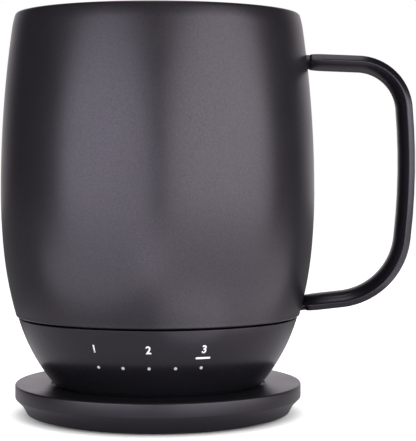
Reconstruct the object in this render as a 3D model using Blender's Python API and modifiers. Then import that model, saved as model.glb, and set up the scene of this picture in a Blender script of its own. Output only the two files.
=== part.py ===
"""A self heating mug standing on its charging dock, built piece by piece as the real one comes apart.

Metres, +Z up. The origin is on the mug's axis at the level of the floor.
The lit marks face -Y and the handle stands out at +X.
Heights are those of the assembled product, with the mug standing in the dock.
"""

import math

import bmesh
import bpy

# How finely round pieces are turned
MAIN_SEGMENTS = 32
DISC_SEGMENTS = 24
SMALL_SEGMENTS = 16
PIN_SEGMENTS = 12
MERGE_DISTANCE = 0.00001
CREASE_ANGLE = math.radians(30)

# Clearances between pieces
SEAT_GAP = 0.0003
LENS_GAP = 0.00015
RUNNING_GAP = 0.0004
CUT_OVERRUN = 0.001

# Body outline: tangent arcs that run up and down from the belly
BELLY_RADIUS = 0.0475
BELLY_HEIGHT = 0.067
UPPER_BEND_RADIUS = 0.344
RIM_HEIGHT = 0.1212
SHOULDER_DROP = 0.0045
SHOULDER_BEND_RADIUS = 0.026
LOWER_BEND_RADIUS = 0.185
WAIST_HEIGHT = 0.051
SKIRT_BEND_RADIUS = 0.112
SEAM_STEP = 0.00045
SEAM_BELOW_BOARD = 0.0011

# Double steel wall
SHELL_WALL = 0.0006
LINER_WALL = 0.0006
WALL_SPACING = 0.0026
RIM_LIP_RADIUS = 0.00095
RIM_LIP_TAIL = 0.0006
SKIRT_EDGE_ROUND = 0.0005
LINER_CORNER_RADIUS = 0.0086

# Handle: a bevelled strap that runs round three rounded corners
HANDLE_WIDTH = 0.012
HANDLE_THICKNESS = 0.00485
HANDLE_BEVEL_DEPTH = 0.0017
HANDLE_BEVEL_WIDTH = 0.0014
HANDLE_REACH = 0.0285
HANDLE_TOP_DROP = 0.01445
HANDLE_TOP_CORNER_SETBACK = 0.00285
HANDLE_TOP_CORNER_DROP = 0.00117
HANDLE_TOP_BEND = 0.0143
HANDLE_GRIP_SHARE = 0.53
HANDLE_GRIP_BEND = 0.2
HANDLE_BOTTOM_CORNER_SETBACK = 0.004
HANDLE_BOTTOM_CORNER_RISE = 0.0032
HANDLE_BOTTOM_BEND = 0.0207
HANDLE_ABOVE_SEAM = 0.004
HANDLE_NECK_LENGTH = 0.00075
HANDLE_NECK_STEP = 0.0002
HANDLE_TAPER_LENGTH = 0.0045
HANDLE_ROOT = 0.003
HANDLE_NECK_SHARE = 0.84
HANDLE_END_SHARE = 0.92
FILLET_ROOM_SHARE = 0.62

# Plastic base housing below the seam
HOUSING_WALL = 0.002
HOUSING_EDGE = 0.0004
HOUSING_LEDGE = 0.0019
LEDGE_SCREW_WALL = 0.0028
COVER_SCREW_EDGE = 0.0055
COVER_RIM_WALL = 0.0006
COVER_THICKNESS = 0.002
COVER_RECESS = 0.00025
SPIGOT_WALL = 0.0029
SPIGOT_HEIGHT = 0.0042
SPIGOT_ROOT_DEPTH = 0.003
SEAM_GAP = 0.0006
BOARD_LEDGE_WIDTH = 0.0015
BOARD_LEDGE_THICKNESS = 0.0013
SEAM_GASKET_HEIGHT = 0.0012
SEAM_GASKET_DEPTH = 0.0006
FOOT_RING_WIDTH = 0.0037
FOOT_RING_HEIGHT = 0.00095
FOOT_RING_STAND = 0.00035
FOOT_RING_ROUND = 0.0003
FOOT_RING_EDGE_WALL = 0.0012
COVER_GASKET_SETBACK = 0.0026
COVER_GASKET_WIDTH = 0.0014
COVER_GASKET_HEIGHT = 0.0008

# Heater stack under the liner, from the liner down
HEATER_THICKNESS = 0.0003
HEATER_HOLE_RADIUS = 0.0028
SPREADER_THICKNESS = 0.001
SPREADER_MARGIN = 0.0008
THERMISTOR_RADIUS = 0.0022
INSULATION_THICKNESS = 0.002
INSULATION_CLEARANCE = 0.0012
HEATER_LEAD_RADIUS = 0.0006
HEATER_LEAD_SETBACK = 0.0099
HEATER_LEAD_ANGLES = (math.radians(200), math.radians(210))

# Boards and cells in the base
BOARD_THICKNESS = 0.0012
BOARD_CLEARANCE = 0.0006
CONTACT_BOARD_THICKNESS = 0.001
CHIP_SIZE = 0.009
CHIP_HEIGHT = 0.0012
CHIP_PLACE = (0.013, 0.009)
INDUCTOR_SIZE = 0.0095
INDUCTOR_HEIGHT = 0.003
INDUCTOR_ROUND = 0.001
INDUCTOR_PLACE = (-0.009, -0.006)
CELL_RADIUS = 0.0069
CELL_LENGTH = 0.043
CELL_NUB_RADIUS = 0.0026
CELL_NUB_LENGTH = 0.0008
CELL_EDGE = 0.0006
CELL_COUNT = 3
CELL_HEADROOM = 0.0005
CRADLE_END_INSET = 0.0025
CRADLE_HEIGHT = 0.0052
CRADLE_FLOOR = 0.0009
CRADLE_RIM = 0.0008
STRIP_THICKNESS = 0.0003
STRIP_HEIGHT = 0.006
RIBBON_WIDTH = 0.008
RIBBON_THICKNESS = 0.0004
RIBBON_STANDOFF = 0.004

# Indicator lights behind the front wall
LED_BOARD_HALF_WIDTH = 0.0136
LED_BOARD_THICKNESS = 0.001
LED_BOARD_HEIGHT = 0.0089
LED_BOARD_CLEARANCE = 0.0008
DOT_COUNT = 5
DOT_PITCH = math.radians(11.3)
DOT_RADIUS = 0.00055
DOT_RISE = 0.003
LEVEL_BAR_RISE = 0.00295
LEVEL_BAR_LENGTH = 0.0046
LEVEL_BAR_THICKNESS = 0.00065
LENS_PROUD = 0.00004

# Underside of the mug: push button, switch and ring contacts
BUTTON_RADIUS = 0.006
BUTTON_CAP_HEIGHT = 0.0012
BUTTON_DISH_DEPTH = 0.0003
BUTTON_DISH_MARGIN = 0.0012
BUTTON_FLANGE_WIDTH = 0.0015
BUTTON_FLANGE_THICKNESS = 0.0005
BUTTON_POST_RADIUS = 0.0015
BUTTON_POST_HEIGHT = 0.0002
SWITCH_SIZE = 0.0052
SWITCH_HEIGHT = 0.0016
SWITCH_ROOF = 0.00025
SWITCH_STEM_RADIUS = 0.001
SWITCH_STEM_LENGTH = 0.0011
CONTACT_RING_SETOUT = 0.00525
CONTACT_RING_PITCH = 0.00425
CONTACT_RING_WIDTH = 0.0023
CONTACT_RING_THICKNESS = 0.0009
CONTACT_POST_RADIUS = 0.0006

# Small screws, the same in the mug and in the dock
SCREW_HEAD_RADIUS = 0.0018
SCREW_HEAD_HEIGHT = 0.0008
SCREW_SHANK_RADIUS = 0.0009
SCREW_ANGLES = (math.radians(30), math.radians(150), math.radians(270))
COVER_SCREW_SETOUT = 0.0043
COVER_SCREW_LENGTH = 0.0036
DOCK_SCREW_SETBACK = 0.0088
DOCK_SCREW_LENGTH = 0.0045

# Charging dock
DOCK_APRON = 0.0118
DOCK_HEIGHT = 0.0097
DOCK_EDGE_ROUND = 0.0005
DOCK_BAND_HEIGHT = 0.0042
DOCK_SLOPE = 0.0021
DOCK_SLOPE_ROUND = 0.0006
DOCK_FOOT_TAPER = 0.0014
DOCK_LIP_HEIGHT = 0.0009
DOCK_WALL = 0.0015
DOCK_TOP_THICKNESS = 0.0016
DOCK_RECESS_DEPTH = 0.0008
DOCK_RECESS_CLEARANCE = 0.0006
DOCK_FLOOR_THICKNESS = 0.0018
DOCK_PAD_THICKNESS = 0.0012
DOCK_PAD_MARGIN = 0.0012
DOCK_BOSS_RADIUS = 0.0022
DOCK_BOARD_MARGIN = 0.005
DOCK_BOARD_THICKNESS = 0.001
DOCK_BOARD_TAB_WIDTH = 0.010
BALLAST_BOARD_CLEARANCE = 0.0027
BALLAST_BOSS_CLEARANCE = 0.0015
BALLAST_THICKNESS = 0.003
BALLAST_NOTCH_MARGIN = 0.0012

# Sprung contacts of the dock
PIN_TIP_RADIUS = 0.00075
PIN_SHOULDER_RADIUS = 0.001
PIN_SHOULDER_HEIGHT = 0.0006
BARREL_WALL = 0.0004
BARREL_SETBACK = 0.00025
BARREL_LIP = 0.0004
PIN_CLEARANCE = 0.00015
PIN_SPRING_WIRE = 0.0002
PIN_SPRING_PITCH_SHARE = 1.9
PIN_SPRING_POINTS = 8
CARRIER_WIDTH = 0.008
CARRIER_MARGIN = 0.003

# Power inlet: a low round jack for a slim plug of 3.5 mm
JACK_BORE_RADIUS = 0.0018
JACK_BODY_WIDTH = 0.0064
JACK_BODY_LENGTH = 0.0072
JACK_BODY_HEIGHT = 0.0048
JACK_COLLAR_RADIUS = 0.0025
JACK_COLLAR_LENGTH = 0.0014
JACK_FACE_SETBACK = 0.0016
JACK_PIN_RADIUS = 0.00065
JACK_PIN_SETBACK = 0.001
JACK_BACK_WALL = 0.0012

# Colour, roughness and metallic value of each material
MATERIALS = {
    "black_powder_coat": ((0.022, 0.020, 0.024), 0.42, 0.0),
    "black_liner_coat": ((0.020, 0.019, 0.021), 0.30, 0.0),
    "black_abs": ((0.018, 0.017, 0.020), 0.45, 0.0),
    "satin_dock_plastic": ((0.017, 0.016, 0.018), 0.28, 0.0),
    "black_silicone": ((0.012, 0.012, 0.013), 0.70, 0.0),
    "white_lens": ((0.90, 0.92, 0.95), 0.25, 0.0),
    "green_board": ((0.02, 0.13, 0.06), 0.45, 0.0),
    "black_epoxy": ((0.02, 0.02, 0.02), 0.55, 0.0),
    "ferrite": ((0.06, 0.06, 0.065), 0.60, 0.0),
    "polyimide_film": ((0.62, 0.27, 0.05), 0.35, 0.0),
    "aluminium": ((0.80, 0.81, 0.83), 0.35, 1.0),
    "ceramic_felt": ((0.75, 0.73, 0.68), 0.90, 0.0),
    "cell_wrap": ((0.03, 0.16, 0.34), 0.40, 0.0),
    "cradle_plastic": ((0.10, 0.10, 0.11), 0.50, 0.0),
    "nickel": ((0.62, 0.60, 0.55), 0.30, 1.0),
    "gold_plate": ((0.83, 0.62, 0.25), 0.25, 1.0),
    "screw_steel": ((0.55, 0.55, 0.56), 0.35, 1.0),
    "ballast_steel": ((0.30, 0.30, 0.31), 0.50, 1.0),
    "red_wire": ((0.45, 0.03, 0.03), 0.45, 0.0),
}

# Scene set-up
for leftover in list(bpy.data.objects):
    bpy.data.objects.remove(leftover)

mug_collection = bpy.data.collections.new("self_heating_mug")
cutter_collection = bpy.data.collections.new("cutters")
bpy.context.scene.collection.children.link(mug_collection)
bpy.context.scene.collection.children.link(cutter_collection)


def make_material(name):
    """Principled material from the table above."""
    colour, roughness, metallic = MATERIALS[name]
    material = bpy.data.materials.new(name)
    material.use_nodes = True
    shader = material.node_tree.nodes["Principled BSDF"]
    shader.inputs["Base Color"].default_value = (*colour, 1.0)
    shader.inputs["Roughness"].default_value = roughness
    shader.inputs["Metallic"].default_value = metallic
    material.diffuse_color = (*colour, 1.0)
    return material


materials = {name: make_material(name) for name in MATERIALS}


def make_joint_empty(name, place):
    """Empty on a joint's axis, the parent of the pieces that move with it."""
    empty = bpy.data.objects.new(name, None)
    empty.empty_display_size = SEAM_HEIGHT
    empty.location = place
    mug_collection.objects.link(empty)
    return empty


def keep(piece, material, parent=None):
    """Give a finished piece its material, its collection and the joint that it moves with."""
    piece.data.materials.clear()
    piece.data.materials.append(materials[material])
    for collection in piece.users_collection:
        collection.objects.unlink(piece)
    mug_collection.objects.link(piece)
    if parent is not None:
        piece.parent = parent
        piece.location = piece.location - parent.location
    return piece


def as_guide(piece):
    """Make an object a cutter: wire in the viewport and left out of the render."""
    piece.display_type = "WIRE"
    piece.hide_render = True
    return piece


def new_object(name, data):
    """Object that holds a mesh or a curve, kept with the cutters until it is finished."""
    piece = bpy.data.objects.new(name, data)
    cutter_collection.objects.link(piece)
    return piece


def shade(mesh):
    """Smooth shading with sharp creases."""
    mesh.shade_smooth()
    mesh.set_sharp_from_angle(angle=CREASE_ANGLE)


def settled(piece):
    """Replace a piece by the mesh that its modifiers or its curve make, with caps and poles welded."""
    bpy.context.view_layer.update()
    evaluated = piece.evaluated_get(bpy.context.evaluated_depsgraph_get())
    mesh = bpy.data.meshes.new_from_object(evaluated)
    work = bmesh.new()
    work.from_mesh(mesh)
    bmesh.ops.remove_doubles(work, verts=work.verts, dist=MERGE_DISTANCE)
    work.to_mesh(mesh)
    work.free()
    shade(mesh)
    name = piece.name
    placed = piece.matrix_world.copy()
    bpy.data.objects.remove(piece)
    solid = new_object(name, mesh)
    solid.matrix_world = placed
    return solid


def boolean(piece, other, operation):
    """Live Boolean modifier with the exact solver."""
    modifier = piece.modifiers.new(f"{operation.lower()} {other.name}", "BOOLEAN")
    modifier.operation = operation
    modifier.solver = "EXACT"
    modifier.object = as_guide(other)


def cut(piece, *cutters):
    """Take the cutters out of a piece."""
    for cutter in cutters:
        boolean(piece, cutter, "DIFFERENCE")


def fuse(piece, *others):
    """Join overlapping solids to a piece as one body."""
    for other in others:
        boolean(piece, other, "UNION")


def turned(name, outline, closed=True, wall=None, segments=MAIN_SEGMENTS):
    """Solid of revolution about +Z.

    The outline is a list of (radius, height) that runs down the outer side.
    It is closed, or open with both ends on the axis, or open and given a wall
    that grows inwards from it.
    """
    edges = [(index, index + 1) for index in range(len(outline) - 1)]
    if closed:
        edges.append((len(outline) - 1, 0))
    mesh = bpy.data.meshes.new(name)
    mesh.from_pydata([(radius, 0, height) for radius, height in outline], edges, [])
    piece = new_object(name, mesh)
    turn = piece.modifiers.new("turn", "SCREW")
    turn.axis = "Z"
    turn.steps = segments
    turn.render_steps = segments
    turn.use_merge_vertices = True
    turn.merge_threshold = MERGE_DISTANCE
    if wall is not None:
        thicken = piece.modifiers.new("wall", "SOLIDIFY")
        thicken.thickness = wall
        thicken.offset = -1
        thicken.use_even_offset = True
    return settled(piece)


def disc(name, radius, bottom, top, hole=None, segments=DISC_SEGMENTS):
    """Flat round plate about the mug's axis, with or without a round hole in it."""
    if hole is None:
        outline = [(0, top), (radius, top), (radius, bottom), (0, bottom)]
        return turned(name, outline, closed=False, segments=segments)
    outline = [(hole, top), (radius, top), (radius, bottom), (hole, bottom)]
    return turned(name, outline, segments=segments)


def rod(name, radius, start, end, segments=SMALL_SEGMENTS):
    """Cylinder between two heights on an upright axis, given as (x, y, height) and a top height."""
    mesh = bpy.data.meshes.new(name)
    work = bmesh.new()
    bmesh.ops.create_cone(
        work,
        cap_ends=True,
        segments=segments,
        radius1=radius,
        radius2=radius,
        depth=end - start[2],
    )
    work.to_mesh(mesh)
    work.free()
    shade(mesh)
    piece = new_object(name, mesh)
    piece.location = (start[0], start[1], (start[2] + end) / 2)
    return piece


def block(name, size, centre):
    """Box of the given size about a centre."""
    mesh = bpy.data.meshes.new(name)
    work = bmesh.new()
    bmesh.ops.create_cube(work, size=1)
    bmesh.ops.scale(work, vec=size, verts=work.verts)
    work.to_mesh(mesh)
    work.free()
    piece = new_object(name, mesh)
    piece.location = centre
    return piece


def round_edges(piece, radius, segments=2):
    """Bevel every sharp edge of a piece."""
    bevel = piece.modifiers.new("round", "BEVEL")
    bevel.width = radius
    bevel.segments = segments
    bevel.limit_method = "ANGLE"
    return piece


def spaced(start, end, count):
    """Evenly spaced values from start to end, both included."""
    return [start + (end - start) * index / (count - 1) for index in range(count)]


def polar(radius, angle):
    """Point (x, y) at an angle from +X."""
    return radius * math.cos(angle), radius * math.sin(angle)


class ArcWall:
    """Wall of tangent arcs: its radius and its lean at each height.

    It starts at a radius and a height with a lean, the sine of its angle from
    upright, and each arc (bend radius, end height) turns it further inwards.
    """

    def __init__(self, radius, height, arcs, lean=0):
        self.arcs = []
        for bend, end in arcs:
            self.arcs.append((radius, height, lean, bend, end))
            radius, lean = self.along(self.arcs[-1], end)
            height = end

    @staticmethod
    def along(arc, height):
        """Radius and lean on one arc."""
        radius, start, lean, bend, end = arc
        new_lean = lean + abs(height - start) / bend
        fall = bend * (math.sqrt(1 - lean**2) - math.sqrt(1 - new_lean**2))
        return radius - fall, new_lean

    def at(self, height):
        """Radius and lean on the arc that holds this height, or on the last one."""
        for arc in self.arcs:
            if min(arc[1], arc[4]) <= height <= max(arc[1], arc[4]):
                return self.along(arc, height)
        return self.along(self.arcs[-1], height)


# Heights that the pieces share, worked out from the floor up
DOCK_FLOOR_BOTTOM = DOCK_PAD_THICKNESS + SEAT_GAP
DOCK_FLOOR_TOP = DOCK_FLOOR_BOTTOM + DOCK_FLOOR_THICKNESS
DOCK_BOARD_BOTTOM = DOCK_FLOOR_TOP + SEAT_GAP
DOCK_BOARD_TOP = DOCK_BOARD_BOTTOM + DOCK_BOARD_THICKNESS
RECESS_FLOOR = DOCK_HEIGHT - DOCK_RECESS_DEPTH
RECESS_CEILING = RECESS_FLOOR - DOCK_TOP_THICKNESS
DOCK_CEILING = DOCK_HEIGHT - DOCK_TOP_THICKNESS
FOOT_BOTTOM = RECESS_FLOOR + SEAT_GAP
HOUSING_BOTTOM = FOOT_BOTTOM + FOOT_RING_STAND
COVER_BOTTOM = HOUSING_BOTTOM + COVER_RECESS
COVER_TOP = COVER_BOTTOM + COVER_THICKNESS
LEDGE_BOTTOM = COVER_TOP + SEAT_GAP
LEDGE_TOP = LEDGE_BOTTOM + HOUSING_LEDGE
CONTACT_BOARD_BOTTOM = LEDGE_TOP + SEAT_GAP
CONTACT_BOARD_TOP = CONTACT_BOARD_BOTTOM + CONTACT_BOARD_THICKNESS
CRADLE_BOTTOM = CONTACT_BOARD_TOP + SEAT_GAP
CELL_CENTRE = CRADLE_BOTTOM + CRADLE_FLOOR + SEAT_GAP + CELL_RADIUS
MAIN_BOARD_BOTTOM = CELL_CENTRE + CELL_RADIUS + CELL_HEADROOM
MAIN_BOARD_TOP = MAIN_BOARD_BOTTOM + BOARD_THICKNESS
INSULATION_BOTTOM = MAIN_BOARD_TOP + INDUCTOR_HEIGHT + 2 * SEAT_GAP
INSULATION_TOP = INSULATION_BOTTOM + INSULATION_THICKNESS
SPREADER_BOTTOM = INSULATION_TOP + SEAT_GAP
SPREADER_TOP = SPREADER_BOTTOM + SPREADER_THICKNESS
HEATER_BOTTOM = SPREADER_TOP + SEAT_GAP
HEATER_TOP = HEATER_BOTTOM + HEATER_THICKNESS
LINER_BOTTOM = HEATER_TOP + SEAT_GAP
SEAM_HEIGHT = MAIN_BOARD_BOTTOM - SEAM_BELOW_BOARD
SHOULDER_HEIGHT = RIM_HEIGHT - SHOULDER_DROP
DOT_HEIGHT = CRADLE_BOTTOM + DOT_RISE
LEVEL_BAR_HEIGHT = DOT_HEIGHT + LEVEL_BAR_RISE
JACK_CENTRE_HEIGHT = DOCK_FLOOR_TOP + SEAT_GAP + JACK_BODY_HEIGHT / 2

# Radii that the pieces share, worked out from the button outwards
CONTACT_RING_INNER = BUTTON_RADIUS + CONTACT_RING_SETOUT
CONTACT_RING_OUTER = CONTACT_RING_INNER + CONTACT_RING_PITCH
CONTACT_RING_RADII = (CONTACT_RING_INNER, CONTACT_RING_OUTER)
COVER_SCREW_PLACE = CONTACT_RING_OUTER + COVER_SCREW_SETOUT
LEDGE_OPENING_RADIUS = COVER_SCREW_PLACE - LEDGE_SCREW_WALL
COVER_RADIUS = COVER_SCREW_PLACE + COVER_SCREW_EDGE
COVER_OPENING = COVER_RADIUS + SEAT_GAP
COVER_GASKET_RADIUS = COVER_RADIUS - COVER_GASKET_SETBACK
FOOT_GROOVE_INNER = COVER_OPENING + COVER_RIM_WALL
FOOT_GROOVE_OUTER = FOOT_GROOVE_INNER + FOOT_RING_WIDTH + 2 * SEAT_GAP
BASE_FOOT_RADIUS = FOOT_GROOVE_OUTER + FOOT_RING_EDGE_WALL
DOCK_RADIUS = BASE_FOOT_RADIUS + DOCK_APRON
DOCK_SCREW_PLACE = DOCK_RADIUS - DOCK_SCREW_SETBACK
DOCK_BOARD_RADIUS = CONTACT_RING_OUTER + DOCK_BOARD_MARGIN
BALLAST_INNER_RADIUS = DOCK_BOARD_RADIUS + BALLAST_BOARD_CLEARANCE
BALLAST_OUTER_RADIUS = DOCK_SCREW_PLACE - DOCK_BOSS_RADIUS - BALLAST_BOSS_CLEARANCE
CELL_PITCH = 2 * CELL_RADIUS + SEAT_GAP

UPPER_WALL = ArcWall(
    BELLY_RADIUS,
    BELLY_HEIGHT,
    [(UPPER_BEND_RADIUS, SHOULDER_HEIGHT), (SHOULDER_BEND_RADIUS, RIM_HEIGHT)],
)
LOWER_WALL = ArcWall(
    BELLY_RADIUS,
    BELLY_HEIGHT,
    [(LOWER_BEND_RADIUS, WAIST_HEIGHT), (SKIRT_BEND_RADIUS, SEAM_HEIGHT)],
)
SEAM_RADIUS, SEAM_LEAN = LOWER_WALL.at(SEAM_HEIGHT)
BASE_TOP_RADIUS = SEAM_RADIUS - SEAM_STEP


def base_bend():
    """Bend radius of the base's wall, which leaves the seam in line with the skirt and ends at the foot."""
    drop = SEAM_HEIGHT - HOUSING_BOTTOM
    chord = math.atan2(BASE_TOP_RADIUS - BASE_FOOT_RADIUS, drop)
    return drop / (math.sin(2 * chord - math.asin(SEAM_LEAN)) - SEAM_LEAN)


BASE_WALL = ArcWall(BASE_TOP_RADIUS, SEAM_HEIGHT, [(base_bend(), HOUSING_BOTTOM)], SEAM_LEAN)


def body_radius(height):
    """Outer radius of the steel body, above the seam."""
    wall = UPPER_WALL if height > BELLY_HEIGHT else LOWER_WALL
    return wall.at(height)[0]


def body_heights(top, bottom):
    """Heights, from the top down, at which the steel body's curve gets a ring of points."""
    heights = spaced(top, BELLY_HEIGHT, 4)
    heights += spaced(BELLY_HEIGHT, WAIST_HEIGHT, 3)[1:]
    return heights + spaced(WAIST_HEIGHT, bottom, 4)[1:]


def base_radius(height):
    """Outer radius of the base housing, below the seam."""
    return BASE_WALL.at(height)[0]


def housing_radius(height):
    """Inner radius of the base housing's wall."""
    return base_radius(height) - HOUSING_WALL


SPIGOT_RADIUS = body_radius(SEAM_HEIGHT) - SHELL_WALL - SKIRT_EDGE_ROUND - SEAT_GAP
SPIGOT_BORE = SPIGOT_RADIUS - SPIGOT_WALL

# Joint frames: everything on one of these moves with it
mug_lift = make_joint_empty("mug_lift_axis", (0, 0, FOOT_BOTTOM))
button_press = make_joint_empty("button_press_axis", (0, 0, COVER_BOTTOM))


def rim_lip():
    """Centre of the rolled lip as (radius, height) and the angle where it leaves the outer wall."""
    height = RIM_HEIGHT - RIM_LIP_RADIUS
    for _ in range(DISC_SEGMENTS):
        height = RIM_HEIGHT - RIM_LIP_RADIUS + RIM_LIP_RADIUS * UPPER_WALL.at(height)[1]
    radius, lean = UPPER_WALL.at(height)
    angle = math.asin(lean)
    return radius - RIM_LIP_RADIUS * math.cos(angle), RIM_HEIGHT - RIM_LIP_RADIUS, angle


LIP_RADIUS, LIP_CENTRE, LIP_ANGLE = rim_lip()
LIP_TAIL_BOTTOM = LIP_CENTRE - RIM_LIP_TAIL


def build_outer_shell():
    """Spun steel shell: rolled lip, long barrel curve and an edge turned in at the seam."""
    lip_inner = LIP_RADIUS - RIM_LIP_RADIUS
    outline = [(lip_inner, LIP_TAIL_BOTTOM)]
    for angle in spaced(math.pi, LIP_ANGLE, 5):
        x, z = polar(RIM_LIP_RADIUS, angle)
        outline.append((LIP_RADIUS + x, LIP_CENTRE + z))
    skirt_bottom = SEAM_HEIGHT + SEAM_GAP / 2
    heights = body_heights(SHOULDER_HEIGHT, skirt_bottom + SKIRT_EDGE_ROUND)
    outline += [(body_radius(height), height) for height in heights]
    outline.append((body_radius(skirt_bottom) - SKIRT_EDGE_ROUND, skirt_bottom))
    shell = turned("outer_shell", outline, closed=False, wall=SHELL_WALL)
    return keep(shell, "black_powder_coat", mug_lift)


def liner_outline():
    """Outside of the drinking cup, from its top edge down to the middle of its floor."""
    top = LIP_TAIL_BOTTOM - SEAT_GAP
    lip_inner = LIP_RADIUS - RIM_LIP_RADIUS
    corner_top = LINER_BOTTOM + LINER_CORNER_RADIUS
    offset = WALL_SPACING - LINER_WALL
    outline = [(lip_inner + LINER_WALL, top)]
    for height in spaced(SHOULDER_HEIGHT, BELLY_HEIGHT, 4) + spaced(BELLY_HEIGHT, corner_top, 3)[1:]:
        outline.append((max(body_radius(height) - offset, lip_inner + LINER_WALL), height))
    corner_centre = outline[-1][0] - LINER_CORNER_RADIUS
    for angle in spaced(0, -math.pi / 2, 5)[1:]:
        x, z = polar(LINER_CORNER_RADIUS, angle)
        outline.append((corner_centre + x, corner_top + z))
    outline.append((0, LINER_BOTTOM))
    return outline


LINER_OUTLINE = liner_outline()
LINER_FLAT_RADIUS = LINER_OUTLINE[-2][0]


def build_inner_liner():
    """Deep drawn steel cup that hangs inside the shell's lip."""
    liner = turned("inner_liner", LINER_OUTLINE, closed=False, wall=LINER_WALL)
    return keep(liner, "black_liner_coat", mug_lift)


def rounded_path(corners, bends, steps):
    """Polyline through corners whose inner ones are rounded by arcs.

    Each arc's tangent length takes at most what the arc before it left of the
    side between them, and a share of the next side.
    """
    path = [corners[0]]
    used = 0
    for index, (bend, count) in enumerate(zip(bends, steps), start=1):
        before, corner, after = corners[index - 1], corners[index], corners[index + 1]
        arrive = math.atan2(corner[1] - before[1], corner[0] - before[0])
        leave = math.atan2(after[1] - corner[1], after[0] - corner[0])
        turn = (leave - arrive + math.pi) % (2 * math.pi) - math.pi
        room = min(math.dist(before, corner) - used, math.dist(corner, after) * FILLET_ROOM_SHARE)
        tangent = min(bend * math.tan(abs(turn) / 2), room)
        radius = tangent / math.tan(abs(turn) / 2)
        side = math.copysign(1, turn)
        start = (corner[0] - tangent * math.cos(arrive), corner[1] - tangent * math.sin(arrive))
        centre_angle = arrive + side * math.pi / 2
        centre = (start[0] + radius * math.cos(centre_angle), start[1] + radius * math.sin(centre_angle))
        for angle in spaced(arrive - side * math.pi / 2, leave_angle(arrive, turn, side), count):
            path.append((centre[0] + radius * math.cos(angle), centre[1] + radius * math.sin(angle)))
        used = tangent
    path.append(corners[-1])
    return path


def leave_angle(arrive, turn, side):
    """Angle from an arc's centre to the point where the path leaves it."""
    return arrive + turn - side * math.pi / 2


def handle_end(corner, height):
    """Point where the handle's centre line meets the shell, and the unit step from there to the corner."""
    reach = body_radius(height)
    length = math.dist((reach, height), corner)
    return (reach, height), ((corner[0] - reach) / length, (corner[1] - height) / length)


def handle_path():
    """Centre line of the handle as (x, z, size share), from inside the shell at the top to the bottom.

    At each end the strap tapers a little and steps down to the neck that meets the shell.
    """
    reach = BELLY_RADIUS + HANDLE_REACH
    top = RIM_HEIGHT - HANDLE_TOP_DROP
    bottom = SEAM_HEIGHT + HANDLE_ABOVE_SEAM
    top_corner = (reach - HANDLE_TOP_CORNER_SETBACK, top - HANDLE_TOP_CORNER_DROP)
    bottom_corner = (reach - HANDLE_BOTTOM_CORNER_SETBACK, bottom + HANDLE_BOTTOM_CORNER_RISE)
    grip = (reach, bottom_corner[1] + (top_corner[1] - bottom_corner[1]) * HANDLE_GRIP_SHARE)
    ends = []
    for corner, height in ((top_corner, top), (bottom_corner, bottom)):
        start, step = handle_end(corner, height)
        stations = [
            (-HANDLE_ROOT, HANDLE_NECK_SHARE),
            (HANDLE_NECK_LENGTH, HANDLE_NECK_SHARE),
            (HANDLE_NECK_LENGTH + HANDLE_NECK_STEP, HANDLE_END_SHARE),
            (HANDLE_TAPER_LENGTH, 1),
        ]
        ends.append([(start[0] + step[0] * s, start[1] + step[1] * s, share) for s, share in stations])
    first, last = ends[0], ends[1][::-1]
    corners = [first[-1][:2], top_corner, grip, bottom_corner, last[0][:2]]
    bends = (HANDLE_TOP_BEND, HANDLE_GRIP_BEND, HANDLE_BOTTOM_BEND)
    middle = rounded_path(corners, bends, (8, 4, 8))[1:-1]
    return first + [(x, z, 1) for x, z in middle] + last


def handle_section():
    """Cross-section of the strap: outward is -X and the width lies along Y.

    The outer side is flat between two bevels. The inner side is one arc from ridge to ridge.
    """
    outer = -HANDLE_THICKNESS / 2
    inner = HANDLE_THICKNESS / 2
    side = HANDLE_WIDTH / 2
    rise = HANDLE_THICKNESS - HANDLE_BEVEL_DEPTH
    radius = (side**2 + rise**2) / (2 * rise)
    half = [(outer, side - HANDLE_BEVEL_WIDTH)]
    for angle in spaced(math.asin(side / radius), 0, 4)[:-1]:
        x, y = polar(radius, angle)
        half.append((inner - radius + x, y))
    return half + [(inner, 0)] + [(x, -y) for x, y in reversed(half)]


def poly_curve(name, points, cyclic=False, dimensions="2D"):
    """Curve object of one straight-run spline through (x, y, z, size share)."""
    data = bpy.data.curves.new(name, "CURVE")
    data.dimensions = dimensions
    data.render_resolution_u = 0
    spline = data.splines.new("POLY")
    spline.points.add(len(points) - 1)
    for point, (x, y, z, share) in zip(spline.points, points):
        point.co = (x, y, z, 1)
        point.radius = share
    spline.use_cyclic_u = cyclic
    return new_object(name, data)


def build_handle():
    """Cast strap handle, swept along its centre line and cut to fit the shell's curve."""
    section = poly_curve("handle_section", [(x, y, 0, 1) for x, y in handle_section()], cyclic=True)
    path = poly_curve("handle", [(x, z, 0, share) for x, z, share in handle_path()])
    path.rotation_euler = (math.pi / 2, 0, 0)
    path.data.bevel_mode = "OBJECT"
    path.data.bevel_object = section
    path.data.use_fill_caps = True
    handle = settled(path)
    bpy.data.objects.remove(section)
    heights = body_heights(SHOULDER_HEIGHT, SEAM_HEIGHT)
    outline = [(body_radius(height) + SEAT_GAP, height) for height in heights]
    outline = [(0, heights[0])] + outline + [(0, heights[-1])]
    cut(handle, turned("shell_clearance", outline, closed=False))
    return keep(handle, "black_powder_coat", mug_lift)


def base_face(grow=0):
    """Points of the base housing's outer face, from its shoulder down, moved out by grow."""
    heights = spaced(SEAM_HEIGHT - SEAM_GAP / 2, HOUSING_BOTTOM + HOUSING_EDGE, 5)
    return [(base_radius(height) + grow, height) for height in heights]


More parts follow.
